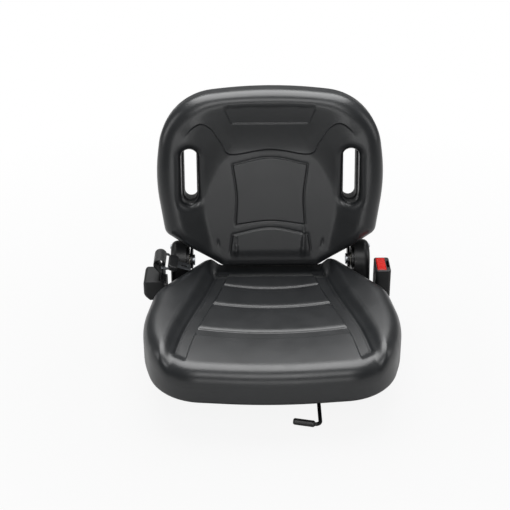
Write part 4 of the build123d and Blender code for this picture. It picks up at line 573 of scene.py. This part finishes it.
def rolled(distance, radius, fullness=2.0):
    """Drop of a rolled edge, at a distance inside it: nothing past the radius and all of it at the edge."""
    share = np.clip(1.0 - distance / radius, 0.0, 1.0)
    return radius * (1.0 - (1.0 - share**fullness) ** (1.0 / fullness))


def roll_steps(radius):
    """Distances inside a rolled edge at which its arc turns by the same angle."""
    return radius * (1.0 - np.sin(np.radians(np.arange(90.0, 3.0, -7.0))))


def sheet_plan(outline, holes, lines, spacing, edge_roll, hole_roll):
    """Points and triangles of a flat sheet in an outline, close together along its edges and its lines."""
    rings = [outline, *holes]
    for distance in roll_steps(edge_roll)[1:]:
        ring = shifted(outline, distance, True)
        rings.append(ring[to_line(ring, outline, True)[0] > distance - 0.05])
    for hole in holes:
        rings += [shifted(hole, -distance, True) for distance in roll_steps(hole_roll)[1:]]
    low, high = outline.min(axis=0), outline.max(axis=0)
    across = np.arange(low[0], high[0], spacing)
    up = np.arange(low[1], high[1], spacing * 0.866)
    grid = np.array([(x + spacing / 2 * (row % 2), y) for row, y in enumerate(up) for x in across])
    grid = grid[to_line(grid, outline, True)[0] > edge_roll]
    for hole in holes:
        grid = grid[to_line(grid, hole, True)[0] < -hole_roll]
    for line in lines:
        grid = grid[np.abs(to_line(grid, line, False)[0]) > LINE_CLEAR]
        for side in BESIDE_LINES:
            beside = shifted(line, side, False)
            beside = beside[to_line(beside, outline, True)[0] > edge_roll + 1.5]
            for hole in holes:
                beside = beside[to_line(beside, hole, True)[0] < -hole_roll - 1.5]
            rings.append(beside)
    points = np.vstack(rings + [grid])
    fixed, start = [], 0
    for ring in rings[: 1 + len(holes)]:
        count = len(ring)
        fixed += [(start + i, start + (i + 1) % count) for i in range(count)]
        start += count
    flat, _, faces, *_ = delaunay_2d_cdt([Vector(p) for p in points], fixed, [], 0, 0.25)
    flat, faces = np.array(flat), np.array(faces)
    middles = flat[faces].mean(axis=1)
    keep = to_line(middles, outline, True)[0] > 0
    for hole in holes:
        keep &= to_line(middles, hole, True)[0] < 0
    return flat, faces[keep]


def closed_form(name, place, height, outline, holes, plan, walls, floor):
    """A closed mesh: a height over a flat plan, walls down from its edges and a floor under it.

    place turns plan x, y and height into metres. walls are rows of inset and height, from the edge down to
    the floor, for the outline and then for each hole."""
    bm = bmesh.new()
    flat, faces = plan
    top = [bm.verts.new(place(*p, h)) for p, h in zip(flat, height(flat))]
    for face in faces:
        bm.faces.new([top[i] for i in face])
    last = []
    for loop, rows, inward in [(outline, walls[0], 1)] + [(hole, walls[1], -1) for hole in holes]:
        above = [bm.verts.new(place(*p, h)) for p, h in zip(loop, height(loop))]
        for inset, level in rows:
            line = shifted(loop, inset * inward, True)
            below = [bm.verts.new(place(*p, level)) for p in line]
            for i in range(len(loop)):
                j = (i + 1) % len(loop)
                bm.faces.new([above[i], above[j], below[j], below[i]])
            above = below
        last.append(line)
    points = np.vstack(last)
    fixed, start = [], 0
    for line in last:
        fixed += [(start + i, start + (i + 1) % len(line)) for i in range(len(line))]
        start += len(line)
    flat, _, faces, *_ = delaunay_2d_cdt([Vector(p) for p in points], fixed, [], 0, 1e-6)
    under = [bm.verts.new(place(*p, floor)) for p in flat]
    middles = np.array([np.mean([flat[i] for i in face], axis=0) for face in faces])
    keep = to_line(middles, last[0], True)[0] > 0
    for line in last[1:]:
        keep &= to_line(middles, line, True)[0] < 0
    for face in np.array(faces)[keep]:
        bm.faces.new([under[i] for i in face])
    bmesh.ops.remove_doubles(bm, verts=bm.verts[:], dist=0.02 * MM)
    bmesh.ops.recalc_face_normals(bm, faces=bm.faces[:])
    mesh = bpy.data.meshes.new(name)
    bm.to_mesh(mesh)
    bm.free()
    mesh.shade_smooth()
    made = bpy.data.objects.new(name, mesh)
    bpy.context.scene.collection.objects.link(made)
    return made


def pad_outline(low, high, bow_low, bow_high, waist):
    """A moulded panel from its low and high right corners, with bowed ends and waisted sides."""
    (low_x, low_v), (high_x, high_v) = low, high
    middle = ((low_x + high_x) / 2 - waist, (low_v + high_v) / 2)
    side = curve([low, middle, high], 3.0)
    top = curve([high, (0.0, high_v + bow_high), (-high_x, high_v)], 3.0)
    foot = curve([(-low_x, low_v), (0.0, low_v + bow_low), low], 3.0)
    left = side[::-1] * (-1, 1)
    return resample(np.vstack([side, top[1:-1], left, foot[1:-1]]), LINE_STEP, True)


class SEAT_OT_backrest_cushion(bpy.types.Operator):
    """Make the moulded backrest cushion with its dish, panels and hand slots"""

    bl_idname = "tractor_seat.backrest_cushion"
    bl_label = "Backrest cushion"

    def execute(self, context):
        sizes = context.scene.tractor_seat_sizes
        depth, dish, roll, lip, step = (
            size / MM
            for size in (
                sizes.back_depth,
                sizes.dish_floor,
                sizes.back_roll,
                sizes.slot_roll,
                sizes.panel_step,
            )
        )
        outline = rounded(both_sides(BACK_CORNERS), OUTLINE_STEP)
        floor_edge = rounded(both_sides(DISH_FLOOR), 4.0)
        rim_edge = rounded(both_sides(DISH_RIM), 4.0)
        wide, tall = SLOT_SIZE[0] / 2, SLOT_SIZE[1] / 2
        slot_x, slot_v = SLOT_CENTRE
        slots = [
            rounded(
                [
                    (side * slot_x + x * wide, slot_v + y * tall, wide - 0.1)
                    for x, y in ((1, -1), (1, 1), (-1, 1), (-1, -1))
                ],
                2.6,
            )
            for side in (1, -1)
        ]
        shield = pad_outline(*SHIELD, SHIELD_FOOT_BOW, SHIELD_BOW, SHIELD_WAIST)
        lumbar = pad_outline(*LUMBAR, 0.0, SHIELD_BOW, 0.0)
        head = rounded(both_sides(HEAD_PANEL), LINE_STEP)
        yoke_left = np.array(YOKE_LINE)
        yoke_middle = [(0.0, YOKE_LINE[-1][1] + YOKE_BOW)]
        yoke = curve(np.vstack([yoke_left, yoke_middle, yoke_left[::-1] * (-1, 1)]), LINE_STEP)
        wings = [curve(np.array(WING_LINE) * (side, 1), LINE_STEP) for side in (1, -1)]

        def height(points):
            edge = to_line(points, outline, True)[0]
            within = ease(edge / FOOT_ROLL - 1)
            past_floor = -to_line(points, floor_edge, True)[0]
            to_rim = to_line(points, rim_edge, True)[0]
            share = np.clip(past_floor, 0.0, None) / np.maximum(
                np.clip(past_floor, 0.0, None) + np.clip(to_rim, 0.0, None), 1e-6
            )
            w = dish + (depth - dish) * (0.35 * share + 0.65 * ease(share))
            for pad in (shield, lumbar):
                inside = to_line(points, pad, True)[0]
                groove = np.exp(-(((inside + PANEL_GROOVE) / PANEL_GROOVE) ** 2))
                w += step * (rise(inside, PANEL_EDGE) - 0.4 * groove) * within
            w -= step * rise(to_line(points, head, True)[0], PANEL_EDGE)
            above, along = to_line(points, yoke, False)
            ends = ease(along / YOKE_ENDS) * ease((along.max() - along) / YOKE_ENDS)
            fade = np.exp(-np.clip(above, 0.0, None) / YOKE_FADE)
            w += 1.3 * step * rise(above, PANEL_EDGE) * fade * ends
            for wing in wings:
                away, along = to_line(points, wing, False)
                ends = ease(along / WING_ENDS) * ease((along.max() - along) / WING_ENDS)
                w -= 0.5 * step * np.exp(-((away / WING_WIDTH) ** 2)) * ends * within
            for slot in slots:
                w -= rolled(-to_line(points, slot, True)[0], lip)
            radius = FOOT_ROLL + (roll - FOOT_ROLL) * ease(share)
            return w - rolled(edge, radius, 2.2)

        up = Vector((0.0, math.sin(BACK_LEAN), math.cos(BACK_LEAN)))
        out = Vector((0.0, -math.cos(BACK_LEAN), math.sin(BACK_LEAN)))
        origin = Vector(BACK_ORIGIN)

        def place(x, v, w):
            return (origin + Vector((x, 0.0, 0.0)) + up * v + out * w) * MM

        lines = [np.vstack([line, line[:1]]) for line in (shield, lumbar, head)] + [yoke, *wings]
        plan = sheet_plan(outline, slots, lines, FIELD_STEP, roll, lip)
        rim = SHELL_RIM
        outer = [(0.0, rim + 10), (0.2, rim + 5), (1.2, rim + 2), (2.8, rim + 0.7)]
        outer += [(SHELL_INNER, rim + 0.4), (SHELL_INNER, SHELL_FLOOR)]
        inner = [(0.0, rim + 10), (0.0, SHELL_FLOOR)]
        cushion = closed_form(
            "backrest_skin", place, height, outline, slots, plan, (outer, inner), SHELL_FLOOR
        )
        cushion.data.materials.append(bpy.data.materials["moulded_vinyl_grained"])
        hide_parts("backrest_cushion")
        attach(cushion, "backrest")
        return {"FINISHED"}


class SEAT_OT_seat_cushion(bpy.types.Operator):
    """Make the moulded seat cushion with its bolsters and bands"""

    bl_idname = "tractor_seat.seat_cushion"
    bl_label = "Seat cushion"

    def execute(self, context):
        sizes = context.scene.tractor_seat_sizes
        low, slope, roll, deep, band_roll, bolster = (
            size / MM
            for size in (
                sizes.seat_floor,
                sizes.bolster_slope,
                sizes.seat_roll,
                sizes.band_depth,
                sizes.band_roll,
                sizes.bolster_rise,
            )
        )
        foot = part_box("seat_cushion")[0].z / MM + PAN_PLAY
        outline = rounded(both_sides(SEAT_CORNERS), OUTLINE_STEP)
        right = curve(BOLSTER_LINE, LINE_STEP)
        valleys = [right, right[::-1] * (-1, 1)]
        edges = [shifted(line, -STRIP_WIDTH, False) for line in valleys]
        edge_x = edges[0][np.argsort(edges[0][:, 1])]

        def bow(y, x):
            half = np.interp(y, edge_x[:, 1], edge_x[:, 0])
            return y + BAND_BOW * (x / half) ** 2

        def band_line(y):
            half = np.interp(y + BAND_BOW, edge_x[:, 1], edge_x[:, 0])
            x = np.linspace(-half, half, 60)
            return resample(np.stack([x, bow(y, x)], axis=1), LINE_STEP, False)

        def height(points):
            x, y = points[:, 0], points[:, 1]
            past = -to_line(points, valleys[0], False)[0]
            past = np.where(x > 0, -past, to_line(points, valleys[1], False)[0])
            fall = ease((y - SEAT_FALL[0]) / (SEAT_FALL[1] - SEAT_FALL[0]))
            z = low - SEAT_SHELF_DROP * fall * (1 - rise(past - 6, slope))
            z += bolster * rise(past - slope / 2, slope)
            edge = to_line(points, outline, True)[0]
            within = ease(2 * edge / roll - 1.4)
            z -= 0.6 * deep * np.exp(-((past / 3.0) ** 2)) * within
            half = np.interp(y, edge_x[:, 1], edge_x[:, 0])
            panel = 1 - rise(np.abs(x) - half, 3.0)
            sunk = np.zeros_like(z)
            for front, gap in zip(BAND_FRONTS, BAND_GAPS):
                behind = y - bow(front, x)
                before = bow(front - gap, x) - y
                drop = np.where(behind >= 0, rolled(behind, band_roll) / band_roll, 1.0)
                sunk = np.maximum(sunk, drop * (1 - rise(before, 2.4)))
            strip = (1 - panel) * (1 - rise(past, 6.0))
            z -= deep * np.maximum(sunk * panel, strip) * within
            drop = rolled(edge, roll, 2.4)
            return np.where(y < 0, z - drop, np.minimum(z, low + bolster - drop))

        def place(x, y, z):
            return Vector((x, y, z)) * MM

        lines = valleys + edges
        for front, gap in zip(BAND_FRONTS, BAND_GAPS):
            lines += [band_line(front), band_line(front - gap)]
        plan = sheet_plan(outline, [], lines, FIELD_STEP, roll, 0.0)
        walls = [(0.0, foot + 2.2 * SEAT_FOOT_RADIUS)]
        for angle in np.radians(np.arange(0.0, 91.0, 15.0)):
            inset = SEAT_FOOT_RADIUS * (1 - math.cos(angle))
            walls.append((inset, foot + SEAT_FOOT_RADIUS * (1 - math.sin(angle))))
        cushion = closed_form("seat_skin", place, height, outline, [], plan, (walls,), foot)
        cushion.data.materials.append(bpy.data.materials["moulded_vinyl_grained"])
        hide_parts("seat_cushion")
        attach(cushion, "seat")
        return {"FINISHED"}


class SEAT_OT_belt(bpy.types.Operator):
    """Lay the belt strap round the tongue's bar and sew its loop"""

    bl_idname = "tractor_seat.belt"
    bl_label = "Belt strap"

    def execute(self, context):
        colours, sizes = context.scene.tractor_seat_colours, context.scene.tractor_seat_sizes
        thick = sizes.webbing_thickness / MM
        lap = thick + 0.05
        foot, top = BELT_SEWN
        line = [(0.0, BELT_FROM), (0.0, BELT_MIDWAY), (0.0, foot), (0.0, top)]
        for angle in np.radians(np.arange(235.0, -56.0, -29.0)):
            line.append((LOOP_RADIUS * math.cos(angle), LOOP_CENTRE + LOOP_RADIUS * math.sin(angle)))
        line += [(lap, top), (lap, (foot + top) / 2), (lap, foot)]
        path = resample(curve(line, 1.0), 1.2, False)
        strap, length = self.strap(path, thick)
        strap.data.materials.append(woven_webbing("polyester_webbing_woven", colours, False))
        context.scene.collection.objects.link(strap)
        rows = self.rows(thick / 2, lap + thick / 2)
        context.scene.collection.objects.link(rows)
        self.sew(context, rows, sizes, sewing_thread(colours))
        for piece in (strap, rows):
            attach(piece, "seat")
        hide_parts("belt_webbing")
        return {"FINISHED"}

    def strap(self, path, thick):
        """A closed strip along the path, with its UV map in metres across and along."""
        half, edge = BELT_WIDTH / 2, BELT_WIDTH / 2 - 0.5
        section = [(-half, 0.0)] + [(across, thick / 2) for across in np.linspace(-edge, edge, 9)]
        section += [(half, 0.0)] + [(across, -thick / 2) for across in np.linspace(edge, -edge, 9)]
        way = np.gradient(path, axis=0)
        way /= np.hypot(*way.T)[:, None]
        reach = np.concatenate(([0.0], np.cumsum(np.hypot(*np.diff(path, axis=0).T))))
        form = bmesh.new()
        uv = form.loops.layers.uv.new("UVMap")
        places, rings = {}, []
        for (x, z), (along_x, along_z), far in zip(path, way, reach):
            ring = []
            for across, out in section:
                spot = Vector(
                    (BELT_PLACE[0] + x - along_z * out, BELT_PLACE[1] + across, z + along_x * out)
                )
                vert = form.verts.new(spot * MM)
                places[vert] = (across * MM, far * MM)
                ring.append(vert)
            rings.append(ring)
        for ring, following in zip(rings, rings[1:]):
            for i in range(len(section)):
                form.faces.new((ring[i - 1], ring[i], following[i], following[i - 1]))
        form.faces.new(rings[0])
        form.faces.new(rings[-1])
        bmesh.ops.recalc_face_normals(form, faces=form.faces[:])
        for face in form.faces:
            face.smooth = len(face.verts) == 4
            for loop in face.loops:
                loop[uv].uv = places[loop.vert]
        mesh = bpy.data.meshes.new("belt_strap")
        form.to_mesh(mesh)
        form.free()
        return bpy.data.objects.new("belt_strap", mesh), reach[-1]

    def rows(self, near, far):
        """Lines of sewing across both faces of the lapped strap, as edges."""
        reach = BELT_WIDTH / 2 - STITCH_MARGIN
        points, edges = [], []
        for z in STITCH_ROWS:
            for x in (-near, far):
                for y in (-reach, reach):
                    points.append(Vector((BELT_PLACE[0] + x, BELT_PLACE[1] + y, z)) * MM)
                edges.append((len(points) - 2, len(points) - 1))
        mesh = bpy.data.meshes.new("belt_stitches")
        mesh.from_pydata(points, edges, [])
        return bpy.data.objects.new("belt_stitches", mesh)

    def sew(self, context, rows, sizes, thread):
        """Turn the rows into stitches with Geometry Nodes, and keep them as a plain mesh."""
        tree = stitch_tree()
        values = {"Stitch length": sizes.stitch_length, "Thread": sizes.stitch_thread, "Material": thread}
        modifier = rows.modifiers.new("Stitches", "NODES")
        modifier.node_group = tree
        for socket in tree.interface.items_tree:
            if socket.name in values:
                modifier[socket.identifier] = values[socket.name]
        graph = context.evaluated_depsgraph_get()
        mesh = bpy.data.meshes.new_from_object(rows.evaluated_get(graph), depsgraph=graph)
        rows.modifiers.clear()
        rows.data = mesh
        if not mesh.polygons:
            raise RuntimeError("no stitches were made")


class SEAT_OT_finishes(bpy.types.Operator):
    """Give every piece that comes from the part's source its finish"""

    bl_idname = "tractor_seat.finishes"
    bl_label = "Finishes"

    def execute(self, context):
        colours, sizes = context.scene.tractor_seat_colours, context.scene.tractor_seat_sizes
        moulded_vinyl(colours, sizes)
        moulded = (
            ("shell_plastic", "polypropylene_moulded_black", colours.shell, 0.5, 1.2, 0.2),
            ("black_plastic", "abs_moulded_satin_black", colours.plastic, 0.38, 0.9, 0.1),
            ("grip_rubber", "pvc_dipped_grip", colours.rubber, 0.3, 4.0, 0.2),
            ("red_plastic", "abs_moulded_gloss_red", colours.red, 0.25, 3.0, 0.05),
            ("nylon", "nylon_moulded_natural", colours.nylon, 0.4, 1.0, 0.1),
        )
        made = {
            slot: textured_plastic(name, colour, roughness, texture * MM, depth * MM)
            for slot, name, colour, roughness, texture, depth in moulded
        }
        made |= {
            "black_paint": powder_coat(colours),
            "zinc_steel": zinc_plate(colours),
            "webbing": woven_webbing("polyester_webbing_rolled", colours, True),
        }
        for entry in frame["record"]["subparts"]:
            if entry["material_slot"] in made:
                finish_node(entry["node"], made[entry["material_slot"]])
        return {"FINISHED"}


class SEAT_OT_stage(bpy.types.Operator):
    """Set up the floor, the soft studio light and the camera at the photograph's angle"""

    bl_idname = "tractor_seat.stage"
    bl_label = "Stage"

    def execute(self, context):
        scene = context.scene
        scene.view_settings.view_transform = "Standard"
        self.floor(scene)
        self.lamps(scene)
        self.camera(scene)
        return {"FINISHED"}

    def floor(self, scene):
        """A wide pale floor: white to the camera, with a faint shadow."""
        half = 6.0
        mesh = bpy.data.meshes.new("studio_floor")
        corners = [(-half, -half, 0), (half, -half, 0), (half, half, 0), (-half, half, 0)]
        mesh.from_pydata(corners, [], [(0, 1, 2, 3)])
        floor = bpy.data.objects.new("studio_floor", mesh)
        scene.collection.objects.link(floor)
        material, tree, out = blank_material("studio_floor_white")
        path = node(tree, "ShaderNodeLightPath")
        seen = node(
            tree,
            "ShaderNodeMath",
            {0: path.outputs["Is Camera Ray"], 1: path.outputs["Is Transmission Ray"]},
            operation="ADD",
        )
        spot = node(tree, "ShaderNodeTexCoord").outputs["Object"]
        away = node(tree, "ShaderNodeVectorMath", {0: spot}, operation="LENGTH")
        plain = node(
            tree,
            "ShaderNodeMapRange",
            {"Value": away.outputs["Value"], "From Min": 0.4, "From Max": 1.2, "To Min": 0.9, "To Max": 1.0},
        )
        share = node(
            tree,
            "ShaderNodeMath",
            {0: seen.outputs[0], 1: plain.outputs[0]},
            operation="MULTIPLY",
            use_clamp=True,
        )
        matt = node(tree, "ShaderNodeBsdfDiffuse", {"Color": (*linear("B4B4B4"), 1.0)})
        white = node(tree, "ShaderNodeEmission", {"Color": (1.0, 1.0, 1.0, 1.0), "Strength": 1.0})
        mixed = node(
            tree, "ShaderNodeMixShader", {0: share.outputs[0], 1: matt.outputs[0], 2: white.outputs[0]}
        )
        tree.links.new(mixed.outputs[0], out.inputs["Surface"])
        mesh.materials.append(material)

    def lamps(self, scene):
        """A large soft light above and behind, two in front, weak ones at the sides, a dim surround."""
        target = Vector(CAMERA_TARGET)
        lamps = (
            ("overhead", (0.0, 0.9, 2.2), (2.6, 2.2), 78.0),
            ("front", (0.0, -1.9, 2.5), (2.2, 1.2), 26.0),
            ("front_low", (0.0, -3.2, 0.7), (2.6, 0.9), 15.0),
            ("left_side", (-2.3, 0.2, 1.1), (0.8, 1.4), 6.0),
            ("right_side", (2.3, 0.2, 1.1), (0.8, 1.4), 5.0),
        )
        for name, place, size, power in lamps:
            light = bpy.data.lights.new(name, "AREA")
            light.shape = "RECTANGLE"
            light.size, light.size_y = size
            light.energy = power
            lamp = bpy.data.objects.new(name, light)
            lamp.location = place
            lamp.rotation_euler = (target - Vector(place)).to_track_quat("-Z", "Y").to_euler()
            scene.collection.objects.link(lamp)
        world = bpy.data.worlds.new("studio")
        world.use_nodes = True
        tree = world.node_tree
        tree.nodes.clear()
        path = node(tree, "ShaderNodeLightPath")
        strength = node(
            tree,
            "ShaderNodeMapRange",
            {"Value": path.outputs["Is Camera Ray"], "To Min": 0.12, "To Max": 1.0},
        )
        back = node(
            tree, "ShaderNodeBackground", {"Color": (1.0, 1.0, 1.0, 1.0), "Strength": strength.outputs[0]}
        )
        out = node(tree, "ShaderNodeOutputWorld", {"Surface": back.outputs[0]})
        out.is_active_output = True
        scene.world = world

    def camera(self, scene):
        """A long lens at the angle, distance and crop of the photograph."""
        lens = bpy.data.cameras.new("photo_camera")
        lens.sensor_width = 36.0
        lens.lens = CAMERA_FOCUS / PHOTO_WIDTH * lens.sensor_width
        lens.shift_x = (PHOTO_WIDTH / 2 - CAMERA_CENTRE[0]) / PHOTO_WIDTH
        lens.shift_y = (CAMERA_CENTRE[1] - PHOTO_WIDTH / 2) / PHOTO_WIDTH
        target = Vector(CAMERA_TARGET)
        away = Vector(
            (
                math.sin(CAMERA_YAW) * math.cos(CAMERA_RISE),
                -math.cos(CAMERA_YAW) * math.cos(CAMERA_RISE),
                math.sin(CAMERA_RISE),
            )
        )
        camera = bpy.data.objects.new("photo_camera", lens)
        camera.location = target + CAMERA_AWAY * away
        camera.rotation_euler = (-away).to_track_quat("-Z", "Y").to_euler()
        scene.collection.objects.link(camera)
        scene.camera = camera


OPERATORS = (
    SEAT_OT_finishes,
    SEAT_OT_seat_cushion,
    SEAT_OT_backrest_cushion,
    SEAT_OT_belt,
    SEAT_OT_stage,
)


class SEAT_PT_panel(bpy.types.Panel):
    """The steps that dress the seat, in order"""

    bl_idname = "SEAT_PT_panel"
    bl_label = "Tractor seat"
    bl_space_type = "VIEW_3D"
    bl_region_type = "UI"
    bl_category = "Tractor seat"

    def draw(self, context):
        for operator in OPERATORS:
            self.layout.operator(operator.bl_idname)
        for group in (context.scene.tractor_seat_sizes, context.scene.tractor_seat_colours):
            for name in group.__annotations__:
                self.layout.prop(group, name)


CLASSES = (SeatSizes, SeatColours, *OPERATORS, SEAT_PT_panel)


def register():
    for cls in CLASSES:
        bpy.utils.register_class(cls)
    bpy.types.Scene.tractor_seat_sizes = bpy.props.PointerProperty(type=SeatSizes)
    bpy.types.Scene.tractor_seat_colours = bpy.props.PointerProperty(type=SeatColours)


def unregister():
    del bpy.types.Scene.tractor_seat_colours
    del bpy.types.Scene.tractor_seat_sizes
    for cls in reversed(CLASSES):
        bpy.utils.unregister_class(cls)


def main():
    register()
    bpy.ops.tractor_seat.finishes()
    bpy.ops.tractor_seat.seat_cushion()
    bpy.ops.tractor_seat.backrest_cushion()
    bpy.ops.tractor_seat.belt()
    bpy.ops.tractor_seat.stage()


if __name__ == "__main__":
    main()
